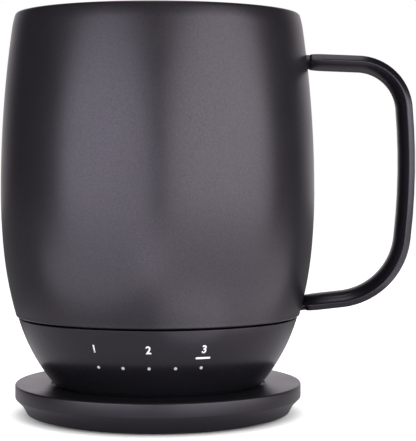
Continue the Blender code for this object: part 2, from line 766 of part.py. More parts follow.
def housing_outline():
    """Section of the base housing: spigot, outer wall, foot groove, cover opening and the two ledges."""
    shoulder = SEAM_HEIGHT - SEAM_GAP / 2
    spigot_top = SEAM_HEIGHT + SPIGOT_HEIGHT
    gasket_bottom = (SEAM_HEIGHT + spigot_top) / 2 - SEAM_GASKET_HEIGHT / 2 - SEAT_GAP
    gasket_top = gasket_bottom + SEAM_GASKET_HEIGHT + 2 * SEAT_GAP
    gasket_floor = SPIGOT_RADIUS - SEAM_GASKET_DEPTH
    foot_top = FOOT_BOTTOM + FOOT_RING_HEIGHT + SEAT_GAP
    gasket_in = COVER_GASKET_RADIUS - SEAT_GAP
    gasket_out = COVER_GASKET_RADIUS + COVER_GASKET_WIDTH + SEAT_GAP
    gasket_roof = LEDGE_BOTTOM + COVER_GASKET_HEIGHT + SEAT_GAP
    spigot_root = SEAM_HEIGHT - SPIGOT_ROOT_DEPTH
    board_ledge = MAIN_BOARD_BOTTOM - SEAT_GAP
    ledge_radius = SPIGOT_BORE - BOARD_LEDGE_WIDTH
    outline = [
        (SPIGOT_RADIUS, spigot_top),
        (SPIGOT_RADIUS, gasket_top),
        (gasket_floor, gasket_top),
        (gasket_floor, gasket_bottom),
        (SPIGOT_RADIUS, gasket_bottom),
        (SPIGOT_RADIUS, shoulder),
    ]
    outline += base_face()
    outline += [
        (BASE_FOOT_RADIUS - HOUSING_EDGE, HOUSING_BOTTOM),
        (FOOT_GROOVE_OUTER, HOUSING_BOTTOM),
        (FOOT_GROOVE_OUTER, foot_top),
        (FOOT_GROOVE_INNER, foot_top),
        (FOOT_GROOVE_INNER, HOUSING_BOTTOM),
        (COVER_OPENING, HOUSING_BOTTOM),
        (COVER_OPENING, LEDGE_BOTTOM),
        (gasket_out, LEDGE_BOTTOM),
        (gasket_out, gasket_roof),
        (gasket_in, gasket_roof),
        (gasket_in, LEDGE_BOTTOM),
        (LEDGE_OPENING_RADIUS, LEDGE_BOTTOM),
        (LEDGE_OPENING_RADIUS, LEDGE_TOP),
    ]
    outline += [(housing_radius(height), height) for height in spaced(LEDGE_TOP, spigot_root, 3)]
    outline += [
        (SPIGOT_BORE, spigot_root),
        (SPIGOT_BORE, board_ledge - BOARD_LEDGE_THICKNESS),
        (ledge_radius, board_ledge - BOARD_LEDGE_THICKNESS),
        (ledge_radius, board_ledge),
        (SPIGOT_BORE, board_ledge),
        (SPIGOT_BORE, spigot_top),
    ]
    return outline


def dot_angles():
    """Angles of the dots about the mug's axis, counted from -Y towards +X."""
    middle = (DOT_COUNT - 1) / 2
    return [(index - middle) * DOT_PITCH for index in range(DOT_COUNT)]


def led_board_front():
    """Y of the indicator board's front face, as far forward as its corners fit in the housing."""
    corner_radius = housing_radius(CRADLE_BOTTOM) - LED_BOARD_CLEARANCE
    return -math.sqrt(corner_radius**2 - LED_BOARD_HALF_WIDTH**2)


def radial_lens(name, angle, height, half_width, half_height, grow=0):
    """Light guide from in front of the indicator board out through the housing's face.

    A round one has equal half sizes, a long one is a flat bar with round ends.
    With grow it is the window that the guide needs.
    """
    start = (-led_board_front() + SEAT_GAP + half_width * math.sin(abs(angle))) / math.cos(angle)
    end = base_radius(height + half_height) + CUT_OVERRUN
    width, thick = half_width + grow, half_height + grow
    data = bpy.data.curves.new(name, "CURVE")
    data.dimensions = "2D"
    data.fill_mode = "BOTH"
    data.extrude = (end - start) / 2 + grow
    spline = data.splines.new("POLY")
    flat = width - thick
    points = []
    for side in (1, -1):
        for turn in spaced(-math.pi / 2, math.pi / 2, PIN_SEGMENTS // 2):
            points.append((side * (flat + thick * math.cos(turn)), side * thick * math.sin(turn)))
    spline.points.add(len(points) - 1)
    for point, (x, y) in zip(spline.points, points):
        point.co = (x, y, 0, 1)
    spline.use_cyclic_u = True
    lens = new_object(name, data)
    middle = (start + end) / 2
    lens.rotation_euler = (math.pi / 2, 0, angle)
    lens.location = (middle * math.sin(angle), -middle * math.cos(angle), height)
    return settled(lens)


def build_base_housing():
    """Moulded housing below the seam, with screw holes in its ledge and windows for the lights."""
    housing = turned("base_housing", housing_outline())
    for index, angle in enumerate(SCREW_ANGLES, start=1):
        x, y = polar(COVER_SCREW_PLACE, angle)
        hole_top = COVER_BOTTOM + COVER_SCREW_LENGTH + SEAT_GAP
        hole = rod(
            f"ledge_hole_{index}",
            SCREW_SHANK_RADIUS + SEAT_GAP,
            (x, y, LEDGE_BOTTOM - CUT_OVERRUN),
            hole_top,
            PIN_SEGMENTS,
        )
        cut(housing, hole)
    for index, angle in enumerate(dot_angles(), start=1):
        cut(housing, radial_lens(f"dot_window_{index}", angle, DOT_HEIGHT, DOT_RADIUS, DOT_RADIUS, LENS_GAP))
    window = radial_lens(
        "bar_window",
        dot_angles()[-1],
        LEVEL_BAR_HEIGHT,
        LEVEL_BAR_LENGTH / 2,
        LEVEL_BAR_THICKNESS / 2,
        LENS_GAP,
    )
    cut(housing, window)
    return keep(housing, "black_abs", mug_lift)


def build_lights():
    """Indicator board on edge behind the front wall, five dot guides and the lit level bar."""
    front = led_board_front()
    board = block(
        "led_board",
        (2 * LED_BOARD_HALF_WIDTH, LED_BOARD_THICKNESS, LED_BOARD_HEIGHT),
        (0, front + LED_BOARD_THICKNESS / 2, CRADLE_BOTTOM + LED_BOARD_HEIGHT / 2),
    )
    keep(board, "green_board", mug_lift)
    face = base_face(LENS_PROUD)
    face = turned("lens_face", [(0, face[0][1])] + face + [(0, face[-1][1])], closed=False)
    for index, angle in enumerate(dot_angles(), start=1):
        dot = radial_lens(f"light_pipe_{index}", angle, DOT_HEIGHT, DOT_RADIUS, DOT_RADIUS)
        boolean(dot, face, "INTERSECT")
        keep(dot, "white_lens", mug_lift)
    bar = radial_lens(
        "level_bar_lens",
        dot_angles()[-1],
        LEVEL_BAR_HEIGHT,
        LEVEL_BAR_LENGTH / 2,
        LEVEL_BAR_THICKNESS / 2,
    )
    boolean(bar, face, "INTERSECT")
    keep(bar, "white_lens", mug_lift)


def build_seals():
    """Silicone rings: at the seam, under the cover's edge and the foot that the mug stands on."""
    spigot_top = SEAM_HEIGHT + SPIGOT_HEIGHT
    bottom = (SEAM_HEIGHT + spigot_top) / 2 - SEAM_GASKET_HEIGHT / 2
    inner = SPIGOT_RADIUS - SEAM_GASKET_DEPTH + SEAT_GAP
    outer = body_radius(bottom) - SHELL_WALL - SEAT_GAP
    seam = disc("seam_gasket", outer, bottom, bottom + SEAM_GASKET_HEIGHT, inner, MAIN_SEGMENTS)
    keep(seam, "black_silicone", mug_lift)
    cover = disc(
        "cover_gasket",
        COVER_GASKET_RADIUS + COVER_GASKET_WIDTH,
        LEDGE_BOTTOM,
        LEDGE_BOTTOM + COVER_GASKET_HEIGHT,
        COVER_GASKET_RADIUS,
    )
    keep(cover, "black_silicone", mug_lift)
    foot_outer = FOOT_GROOVE_OUTER - SEAT_GAP
    foot_inner = FOOT_GROOVE_INNER + SEAT_GAP
    foot_top = FOOT_BOTTOM + FOOT_RING_HEIGHT
    outline = [
        (foot_inner, foot_top),
        (foot_outer, foot_top),
        (foot_outer, FOOT_BOTTOM + FOOT_RING_ROUND),
        (foot_outer - FOOT_RING_ROUND, FOOT_BOTTOM),
        (foot_inner + FOOT_RING_ROUND, FOOT_BOTTOM),
        (foot_inner, FOOT_BOTTOM + FOOT_RING_ROUND),
    ]
    keep(turned("foot_ring", outline), "black_silicone", mug_lift)


def ring_bounds(middle, grow=0):
    """Inner and outer radius of a contact ring."""
    half = CONTACT_RING_WIDTH / 2 + grow
    return middle - half, middle + half


def build_bottom_cover():
    """Plate that closes the base: round button hole, two grooves for the contact rings, screw seats."""
    hole = BUTTON_RADIUS + SEAT_GAP
    flange_hole = BUTTON_RADIUS + BUTTON_FLANGE_WIDTH + RUNNING_GAP
    flange_seat = COVER_BOTTOM + BUTTON_CAP_HEIGHT - SEAT_GAP
    groove_roof = COVER_BOTTOM + CONTACT_RING_THICKNESS + SEAT_GAP
    outline = [(COVER_RADIUS, COVER_TOP), (COVER_RADIUS, COVER_BOTTOM)]
    for middle in reversed(CONTACT_RING_RADII):
        inner, outer = ring_bounds(middle, SEAT_GAP)
        outline += [
            (outer, COVER_BOTTOM),
            (outer, groove_roof),
            (inner, groove_roof),
            (inner, COVER_BOTTOM),
        ]
    outline += [
        (hole, COVER_BOTTOM),
        (hole, flange_seat),
        (flange_hole, flange_seat),
        (flange_hole, COVER_TOP),
    ]
    cover = turned("bottom_cover", outline, segments=DISC_SEGMENTS)
    for index, angle in enumerate(SCREW_ANGLES, start=1):
        seat = screw(
            f"cover_seat_{index}", COVER_SCREW_PLACE, angle, COVER_BOTTOM, COVER_SCREW_LENGTH, SEAT_GAP
        )
        cut(cover, seat)
    for ring, middle in enumerate(CONTACT_RING_RADII, start=1):
        for side, (x, y) in enumerate(post_places(middle), start=1):
            cut(
                cover,
                rod(
                    f"post_hole_{ring}_{side}",
                    CONTACT_POST_RADIUS + SEAT_GAP,
                    (x, y, COVER_BOTTOM + CONTACT_RING_THICKNESS),
                    COVER_TOP + CUT_OVERRUN,
                    PIN_SEGMENTS,
                ),
            )
    return keep(cover, "black_abs", mug_lift)


def post_places(middle):
    """The two places on a contact ring where a post goes up to the board."""
    return [(0, middle), (0, -middle)]


def build_contact_rings():
    """Two concentric plated rings, each with posts up to the contact board."""
    for name, middle in zip(("charge_ring_inner", "charge_ring_outer"), CONTACT_RING_RADII):
        inner, outer = ring_bounds(middle)
        top = COVER_BOTTOM + CONTACT_RING_THICKNESS
        ring = disc(name, outer, COVER_BOTTOM, top, inner)
        for side, (x, y) in enumerate(post_places(middle), start=1):
            root = COVER_BOTTOM + CONTACT_RING_THICKNESS / 2
            post = rod(
                f"{name}_post_{side}",
                CONTACT_POST_RADIUS,
                (x, y, root),
                CONTACT_BOARD_BOTTOM - SEAT_GAP,
                PIN_SEGMENTS,
            )
            fuse(ring, post)
        keep(ring, "gold_plate", mug_lift)


def screw(name, place, angle, bottom, length, grow=0):
    """Pan head screw driven upwards, or with grow the clearance that it needs below and around it."""
    x, y = polar(place, angle)
    head_top = bottom + SCREW_HEAD_HEIGHT + grow
    tip = bottom + length
    start = bottom - CUT_OVERRUN if grow else bottom
    tip += CUT_OVERRUN if grow else 0
    outline = [
        (0, tip),
        (SCREW_SHANK_RADIUS + grow, tip),
        (SCREW_SHANK_RADIUS + grow, head_top),
        (SCREW_HEAD_RADIUS + grow, head_top),
        (SCREW_HEAD_RADIUS + grow, start),
        (0, start),
    ]
    piece = turned(name, outline, closed=False, segments=PIN_SEGMENTS)
    piece.location = (x, y, 0)
    return piece


def build_cover_screws():
    """Three screws that hold the bottom cover to the housing's ledge."""
    for index, angle in enumerate(SCREW_ANGLES, start=1):
        piece = screw(f"cover_screw_{index}", COVER_SCREW_PLACE, angle, COVER_BOTTOM, COVER_SCREW_LENGTH)
        keep(piece, "screw_steel", mug_lift)


def build_button():
    """Dished push button under the mug, its tact switch and the stem that it drives."""
    flange_bottom = COVER_BOTTOM + BUTTON_CAP_HEIGHT
    flange_top = flange_bottom + BUTTON_FLANGE_THICKNESS
    flange_radius = BUTTON_RADIUS + BUTTON_FLANGE_WIDTH
    post_top = flange_top + BUTTON_POST_HEIGHT
    outline = [
        (0, post_top),
        (BUTTON_POST_RADIUS, post_top),
        (BUTTON_POST_RADIUS, flange_top),
        (flange_radius, flange_top),
        (flange_radius, flange_bottom),
        (BUTTON_RADIUS, flange_bottom),
        (BUTTON_RADIUS, COVER_BOTTOM),
        (BUTTON_RADIUS - BUTTON_DISH_MARGIN, COVER_BOTTOM),
        (BUTTON_RADIUS / 2, COVER_BOTTOM + BUTTON_DISH_DEPTH),
        (0, COVER_BOTTOM + BUTTON_DISH_DEPTH),
    ]
    button = turned("power_button", outline, closed=False, segments=DISC_SEGMENTS)
    keep(button, "black_silicone", button_press)
    stem_bottom = post_top + SEAT_GAP
    stem = rod(
        "switch_stem", SWITCH_STEM_RADIUS, (0, 0, stem_bottom), stem_bottom + SWITCH_STEM_LENGTH, PIN_SEGMENTS
    )
    keep(stem, "black_epoxy", button_press)
    switch_top = CONTACT_BOARD_BOTTOM - SEAT_GAP
    switch_bottom = switch_top - SWITCH_HEIGHT
    switch = block(
        "tact_switch",
        (SWITCH_SIZE, SWITCH_SIZE, SWITCH_HEIGHT),
        (0, 0, (switch_top + switch_bottom) / 2),
    )
    bore = rod(
        "switch_bore",
        SWITCH_STEM_RADIUS + SEAT_GAP,
        (0, 0, switch_bottom - CUT_OVERRUN),
        switch_top - SWITCH_ROOF,
        PIN_SEGMENTS,
    )
    cut(switch, bore)
    keep(switch, "black_epoxy", mug_lift)


def build_boards():
    """Contact board on the lower ledge and main board on the upper one, with its two large parts."""
    radius = housing_radius(CONTACT_BOARD_BOTTOM) - BOARD_CLEARANCE
    contact = disc("contact_board", radius, CONTACT_BOARD_BOTTOM, CONTACT_BOARD_TOP)
    keep(contact, "green_board", mug_lift)
    main = disc("main_board", SPIGOT_BORE - BOARD_CLEARANCE, MAIN_BOARD_BOTTOM, MAIN_BOARD_TOP)
    keep(main, "green_board", mug_lift)
    seat = MAIN_BOARD_TOP + SEAT_GAP
    chip = block(
        "controller_chip", (CHIP_SIZE, CHIP_SIZE, CHIP_HEIGHT), (*CHIP_PLACE, seat + CHIP_HEIGHT / 2)
    )
    keep(chip, "black_epoxy", mug_lift)
    inductor = block(
        "power_inductor",
        (INDUCTOR_SIZE, INDUCTOR_SIZE, INDUCTOR_HEIGHT),
        (*INDUCTOR_PLACE, seat + INDUCTOR_HEIGHT / 2),
    )
    keep(round_edges(inductor, INDUCTOR_ROUND, 1), "ferrite", mug_lift)
    ribbon_bottom = CONTACT_BOARD_TOP + SEAT_GAP
    ribbon_top = MAIN_BOARD_BOTTOM - SEAT_GAP
    ribbon = block(
        "ribbon_cable",
        (RIBBON_THICKNESS, RIBBON_WIDTH, ribbon_top - ribbon_bottom),
        (-CELL_LENGTH / 2 - RIBBON_STANDOFF, 0, (ribbon_bottom + ribbon_top) / 2),
    )
    keep(ribbon, "polyimide_film", mug_lift)


def cell_places():
    """Y of each cell's axis."""
    middle = (CELL_COUNT - 1) / 2
    return [(index - middle) * CELL_PITCH for index in range(CELL_COUNT)]


def build_battery():
    """Three round cells lying side by side in a troughed cradle, joined by nickel strips."""
    cradle_width = CELL_COUNT * CELL_PITCH + 2 * CRADLE_RIM
    cradle = block(
        "battery_cradle",
        (CELL_LENGTH - 2 * CRADLE_END_INSET, cradle_width, CRADLE_HEIGHT),
        (0, 0, CRADLE_BOTTOM + CRADLE_HEIGHT / 2),
    )
    can_length = CELL_LENGTH - CELL_NUB_LENGTH
    for index, place in enumerate(cell_places(), start=1):
        trough = rod(
            f"cell_trough_{index}",
            CELL_RADIUS + SEAT_GAP,
            (0, place, CELL_CENTRE - CELL_LENGTH / 2),
            CELL_CENTRE + CELL_LENGTH / 2,
            DISC_SEGMENTS,
        )
        trough.rotation_euler = (0, math.pi / 2, 0)
        cut(cradle, trough)
        outline = [
            (0, can_length / 2 + CELL_NUB_LENGTH / 2),
            (CELL_NUB_RADIUS, can_length / 2 + CELL_NUB_LENGTH / 2),
            (CELL_NUB_RADIUS, can_length / 2 - CELL_NUB_LENGTH / 2),
            (CELL_RADIUS - CELL_EDGE, can_length / 2 - CELL_NUB_LENGTH / 2),
            (CELL_RADIUS, can_length / 2 - CELL_NUB_LENGTH / 2 - CELL_EDGE),
            (CELL_RADIUS, -CELL_LENGTH / 2 + CELL_EDGE),
            (CELL_RADIUS - CELL_EDGE, -CELL_LENGTH / 2),
            (0, -CELL_LENGTH / 2),
        ]
        cell = turned(f"battery_cell_{index}", outline, closed=False, segments=SMALL_SEGMENTS)
        cell.rotation_euler = (0, math.pi / 2, index * math.pi)
        cell.location = (0, place, CELL_CENTRE)
        keep(cell, "cell_wrap", mug_lift)
    keep(cradle, "cradle_plastic", mug_lift)
    strip_reach = CELL_LENGTH / 2 + SEAT_GAP + STRIP_THICKNESS / 2
    strip_length = (CELL_COUNT - 1) * CELL_PITCH + 2 * CELL_NUB_RADIUS
    for name, side in (("cell_strip_left", -1), ("cell_strip_right", 1)):
        strip = block(
            name, (STRIP_THICKNESS, strip_length, STRIP_HEIGHT), (side * strip_reach, 0, CELL_CENTRE)
        )
        keep(strip, "nickel", mug_lift)


def build_heater():
    """Film heater, aluminium spreader, temperature sensor, insulation and the heater's two leads."""
    radius = LINER_FLAT_RADIUS
    hole = HEATER_HOLE_RADIUS
    film = disc("heater_film", radius, HEATER_BOTTOM, HEATER_TOP, hole)
    keep(film, "polyimide_film", mug_lift)
    spreader = disc("heat_spreader", radius - SPREADER_MARGIN, SPREADER_BOTTOM, SPREADER_TOP, hole)
    insulation_radius = SPIGOT_BORE - INSULATION_CLEARANCE
    insulation = disc("insulation_pad", insulation_radius, INSULATION_BOTTOM, INSULATION_TOP)
    sensor = rod(
        "temperature_sensor",
        THERMISTOR_RADIUS,
        (0, 0, SPREADER_BOTTOM),
        LINER_BOTTOM - SEAT_GAP,
        PIN_SEGMENTS,
    )
    keep(sensor, "black_epoxy", mug_lift)
    for index, angle in enumerate(HEATER_LEAD_ANGLES, start=1):
        x, y = polar(radius - HEATER_LEAD_SETBACK, angle)
        way = rod(
            f"lead_way_{index}",
            HEATER_LEAD_RADIUS + SEAT_GAP,
            (x, y, INSULATION_BOTTOM - CUT_OVERRUN),
            SPREADER_TOP + CUT_OVERRUN,
            PIN_SEGMENTS,
        )
        cut(spreader, way)
        cut(insulation, way)
        data = bpy.data.curves.new(f"heater_lead_{index}", "CURVE")
        data.dimensions = "3D"
        data.render_resolution_u = 0
        data.bevel_depth = HEATER_LEAD_RADIUS
        data.bevel_resolution = 2
        data.use_fill_caps = True
        spline = data.splines.new("POLY")
        spline.points.add(1)
        spline.points[0].co = (x, y, MAIN_BOARD_TOP + SEAT_GAP, 1)
        spline.points[1].co = (x, y, HEATER_BOTTOM - SEAT_GAP, 1)
        lead = settled(new_object(f"heater_lead_{index}", data))
        keep(lead, "red_wire", mug_lift)
    keep(spreader, "aluminium", mug_lift)
    keep(insulation, "ceramic_felt", mug_lift)


DOCK_RECESS_RADIUS = base_radius(DOCK_HEIGHT) + DOCK_RECESS_CLEARANCE
DOCK_SLOPE_TOP = DOCK_HEIGHT - DOCK_BAND_HEIGHT
DOCK_SLOPE_BOTTOM = DOCK_SLOPE_TOP - DOCK_SLOPE
DOCK_STEM_RADIUS = DOCK_RADIUS - DOCK_SLOPE
DOCK_LIP_RADIUS = DOCK_STEM_RADIUS - DOCK_FOOT_TAPER


def build_dock_shell():
    """Moulded top of the dock: seat recess, upright band, sloped underside, screw bosses, jack pocket."""
    step_radius = DOCK_RECESS_RADIUS + DOCK_TOP_THICKNESS
    outline = [
        (0, RECESS_FLOOR),
        (DOCK_RECESS_RADIUS, RECESS_FLOOR),
        (DOCK_RECESS_RADIUS, DOCK_HEIGHT),
    ]
    for angle in spaced(math.pi / 2, 0, 3):
        x, z = polar(DOCK_EDGE_ROUND, angle)
        outline.append((DOCK_RADIUS - DOCK_EDGE_ROUND + x, DOCK_HEIGHT - DOCK_EDGE_ROUND + z))
    outline += [
        (DOCK_RADIUS, DOCK_SLOPE_TOP + DOCK_SLOPE_ROUND),
        (DOCK_RADIUS - DOCK_SLOPE_ROUND / 2, DOCK_SLOPE_TOP - DOCK_SLOPE_ROUND / 2),
        (DOCK_STEM_RADIUS, DOCK_SLOPE_BOTTOM),
        (DOCK_LIP_RADIUS, DOCK_LIP_HEIGHT),
        (DOCK_LIP_RADIUS - DOCK_WALL, DOCK_LIP_HEIGHT),
        (DOCK_STEM_RADIUS - DOCK_WALL, DOCK_SLOPE_BOTTOM + DOCK_SLOPE_ROUND),
        (DOCK_RADIUS - DOCK_WALL, DOCK_SLOPE_TOP + DOCK_SLOPE_ROUND),
        (DOCK_RADIUS - DOCK_WALL, DOCK_CEILING),
        (step_radius, DOCK_CEILING),
        (step_radius, RECESS_CEILING),
        (0, RECESS_CEILING),
    ]
    shell = turned("dock_shell", outline, closed=False)
    for index, angle in enumerate(SCREW_ANGLES, start=1):
        x, y = polar(DOCK_SCREW_PLACE, angle)
        boss_root = (x, y, DOCK_FLOOR_TOP + SEAT_GAP)
        boss_top = DOCK_CEILING + DOCK_TOP_THICKNESS / 2
        fuse(shell, rod(f"dock_boss_{index}", DOCK_BOSS_RADIUS, boss_root, boss_top))
        cut(
            shell,
            rod(
                f"dock_boss_hole_{index}",
                SCREW_SHANK_RADIUS + SEAT_GAP,
                (x, y, DOCK_FLOOR_BOTTOM),
                DOCK_FLOOR_BOTTOM + DOCK_SCREW_LENGTH + SEAT_GAP,
                PIN_SEGMENTS,
            ),
        )
    for index, (x, y) in enumerate(pin_places(), start=1):
        barrel_hole = rod(
            f"barrel_hole_{index}",
            BARREL_RADIUS + SEAT_GAP,
            (x, y, RECESS_CEILING - CUT_OVERRUN),
            RECESS_FLOOR + CUT_OVERRUN,
            SMALL_SEGMENTS,
        )
        cut(shell, barrel_hole)
    body, collar = jack_solids("jack_pocket", SEAT_GAP, JACK_FACE_SETBACK + CUT_OVERRUN)
    cut(shell, body, collar)
    return keep(shell, "satin_dock_plastic")


BARREL_BORE = PIN_SHOULDER_RADIUS + PIN_CLEARANCE
BARREL_RADIUS = BARREL_BORE + BARREL_WALL
BARREL_BOTTOM = DOCK_BOARD_TOP + SEAT_GAP
BARREL_TOP = RECESS_FLOOR - BARREL_SETBACK


def pin_places():
    """Places of the two sprung contacts, each under one of the mug's rings."""
    inner, outer = CONTACT_RING_RADII
    return [(inner, 0), (-outer, 0)]


def spring_coil(name, bottom, top):
    """Coil of round wire as one curve: its turns follow from its length and the wire."""
    radius = BARREL_BORE - PIN_CLEARANCE - PIN_SPRING_WIRE / 2
    rise = top - bottom - PIN_SPRING_WIRE
    turns = max(1, int(rise / (PIN_SPRING_WIRE * PIN_SPRING_PITCH_SHARE)))
    count = turns * PIN_SPRING_POINTS + 1
    points = []
    for index in range(count):
        x, y = polar(radius, 2 * math.pi * index / PIN_SPRING_POINTS)
        points.append((x, y, bottom + PIN_SPRING_WIRE / 2 + rise * index / (count - 1), 1))
    coil = poly_curve(name, points, dimensions="3D")
    coil.data.bevel_depth = PIN_SPRING_WIRE / 2
    coil.data.bevel_resolution = 1
    coil.data.use_fill_caps = True
    return settled(coil)


def build_sprung_contacts():
    """Two spring pins: barrel on the board, plunger held by the barrel's lip, coil below it."""
    lip_bottom = BARREL_TOP - BARREL_LIP
    bore_bottom = BARREL_BOTTOM + BARREL_WALL
    shoulder_top = lip_bottom - SEAT_GAP
    shoulder_bottom = shoulder_top - PIN_SHOULDER_HEIGHT
    tip_top = COVER_BOTTOM - SEAT_GAP
    lip_bore = PIN_TIP_RADIUS + PIN_CLEARANCE
    for index, (x, y) in enumerate(pin_places(), start=1):
        barrel = turned(
            f"contact_barrel_{index}",
            [
                (lip_bore, BARREL_TOP),
                (BARREL_RADIUS, BARREL_TOP),
                (BARREL_RADIUS, BARREL_BOTTOM),
                (0, BARREL_BOTTOM),
                (0, bore_bottom),
                (BARREL_BORE, bore_bottom),
                (BARREL_BORE, lip_bottom),
                (lip_bore, lip_bottom),
            ],
            segments=SMALL_SEGMENTS,
        )
        barrel.location = (x, y, 0)
        keep(barrel, "gold_plate")
        axis = make_joint_empty(f"contact_pin_axis_{index}", (x, y, tip_top))
        outline = [(0, tip_top)]
        for angle in spaced(math.pi / 2, 0, 3)[1:]:
            dx, dz = polar(PIN_TIP_RADIUS, angle)
            outline.append((dx, tip_top - PIN_TIP_RADIUS + dz))
        outline += [
            (PIN_TIP_RADIUS, shoulder_top),
            (PIN_SHOULDER_RADIUS, shoulder_top),
            (PIN_SHOULDER_RADIUS, shoulder_bottom),
            (0, shoulder_bottom),
        ]
        pin = turned(f"contact_pin_{index}", outline, closed=False, segments=PIN_SEGMENTS)
        pin.location = (x, y, 0)
        keep(pin, "gold_plate", axis)
        spring = spring_coil(f"contact_spring_{index}", bore_bottom + SEAT_GAP, shoulder_bottom - SEAT_GAP)
        spring.location = (x, y, 0)
        keep(spring, "screw_steel")


def build_contact_carrier():
    """Plastic bar on the dock board that holds the two barrels upright."""
    places = [x for x, _ in pin_places()]
    reach = BARREL_RADIUS + CARRIER_MARGIN
    low, high = min(places) - reach, max(places) + reach
    bottom = DOCK_BOARD_TOP + SEAT_GAP
    top = RECESS_CEILING - SEAT_GAP
    carrier = block(
        "contact_carrier",
        (high - low, CARRIER_WIDTH, top - bottom),
        ((low + high) / 2, 0, (bottom + top) / 2),
    )
    for index, (x, y) in enumerate(pin_places(), start=1):
        hole = rod(
            f"carrier_hole_{index}",
            BARREL_RADIUS + SEAT_GAP,
            (x, y, bottom - CUT_OVERRUN),
            top + CUT_OVERRUN,
            SMALL_SEGMENTS,
        )
        cut(carrier, hole)
    return keep(carrier, "cradle_plastic")


def jack_places():
    """Y of the jack's open face, of its collar's root and of its body's back."""
    face = DOCK_RADIUS - JACK_FACE_SETBACK
    root = face - JACK_COLLAR_LENGTH
    return face, root, root - JACK_BODY_LENGTH


def jack_solids(name, grow=0, reach=0):
    """Body and collar of the power inlet, or with grow the room that they need in the dock's wall."""
    face, root, back = jack_places()
    bottom = DOCK_FLOOR_TOP + SEAT_GAP - grow
    top = DOCK_FLOOR_TOP + SEAT_GAP + JACK_BODY_HEIGHT + grow
    body = block(
        f"{name}_body",
        (JACK_BODY_WIDTH + 2 * grow, root - back + 2 * grow, top - bottom),
        (0, (root + back) / 2, (top + bottom) / 2),
    )
    start = root - JACK_COLLAR_LENGTH
    end = face + reach + grow
    collar = rod(f"{name}_collar", JACK_COLLAR_RADIUS + grow, (0, 0, start), end, SMALL_SEGMENTS)
    collar.rotation_euler = (-math.pi / 2, 0, 0)
    collar.location = (0, (start + end) / 2, JACK_CENTRE_HEIGHT)
    return body, collar


def build_power_inlet():
    """Low jack on the dock's floor with its mouth in the band, and the pin in its bore."""
    face, root, back = jack_places()
    body, collar = jack_solids("power_jack")
    jack = settled(body)
    jack.name = "power_jack"
    fuse(jack, collar)
    bore_back = back + JACK_BACK_WALL
    bore = rod("power_jack_bore", JACK_BORE_RADIUS, (0, 0, bore_back), face + CUT_OVERRUN, SMALL_SEGMENTS)
    bore.rotation_euler = (-math.pi / 2, 0, 0)
    bore.location = (0, (bore_back + face + CUT_OVERRUN) / 2, JACK_CENTRE_HEIGHT)
    cut(jack, bore)
    keep(jack, "black_epoxy")
    start = bore_back + SEAT_GAP
    end = face - JACK_PIN_SETBACK
    pin = rod("power_jack_pin", JACK_PIN_RADIUS, (0, 0, start), end, PIN_SEGMENTS)
    pin.rotation_euler = (-math.pi / 2, 0, 0)
    pin.location = (0, (start + end) / 2, JACK_CENTRE_HEIGHT)
    keep(pin, "nickel")


def build_dock_inside():
    """Dock board with its tab to the jack, and the notched steel ring that weighs the dock down."""
    tab_end = jack_places()[2] - SEAT_GAP
    board = disc("dock_board", DOCK_BOARD_RADIUS, DOCK_BOARD_BOTTOM, DOCK_BOARD_TOP)
    tab = block(
        "dock_board_tab",
        (DOCK_BOARD_TAB_WIDTH, tab_end, DOCK_BOARD_THICKNESS),
        (0, tab_end / 2, (DOCK_BOARD_BOTTOM + DOCK_BOARD_TOP) / 2),
    )
    fuse(board, tab)
    keep(board, "green_board")
    outer = BALLAST_OUTER_RADIUS
    bottom = DOCK_BOARD_BOTTOM
    ballast = disc("ballast_ring", outer, bottom, bottom + BALLAST_THICKNESS, BALLAST_INNER_RADIUS)
    notch_width = DOCK_BOARD_TAB_WIDTH + 2 * BALLAST_NOTCH_MARGIN
    notch_reach = outer + CUT_OVERRUN
    notch = block(
        "ballast_notch",
        (notch_width, notch_reach, BALLAST_THICKNESS + 2 * CUT_OVERRUN),
        (0, notch_reach / 2, bottom + BALLAST_THICKNESS / 2),
    )
    cut(ballast, notch)
    keep(ballast, "ballast_steel")


def build_dock_floor():
    """Floor plate screwed up into the bosses, and the soft pad that hides the screws."""
    radius = DOCK_LIP_RADIUS - DOCK_WALL - SEAT_GAP
    floor = disc("dock_floor", radius, DOCK_FLOOR_BOTTOM, DOCK_FLOOR_TOP, segments=MAIN_SEGMENTS)
    for index, angle in enumerate(SCREW_ANGLES, start=1):
        seat = screw(
            f"dock_seat_{index}", DOCK_SCREW_PLACE, angle, DOCK_FLOOR_BOTTOM, DOCK_SCREW_LENGTH, SEAT_GAP
        )
        cut(floor, seat)
        piece = screw(f"dock_screw_{index}", DOCK_SCREW_PLACE, angle, DOCK_FLOOR_BOTTOM, DOCK_SCREW_LENGTH)
        keep(piece, "screw_steel")
    keep(floor, "black_abs")
    pad = disc("dock_pad", radius - DOCK_PAD_MARGIN, 0, DOCK_PAD_THICKNESS, segments=MAIN_SEGMENTS)
    keep(pad, "black_silicone")


build_outer_shell()
build_inner_liner()
build_handle()
build_base_housing()
build_lights()
build_seals()
build_bottom_cover()
build_contact_rings()
build_cover_screws()
build_button()
build_boards()
build_battery()
build_heater()
build_dock_shell()
build_sprung_contacts()
build_contact_carrier()
build_power_inlet()
build_dock_inside()
build_dock_floor()
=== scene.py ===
import math

import bmesh
import bpy
import numpy as np
from mathutils import Matrix, Vector


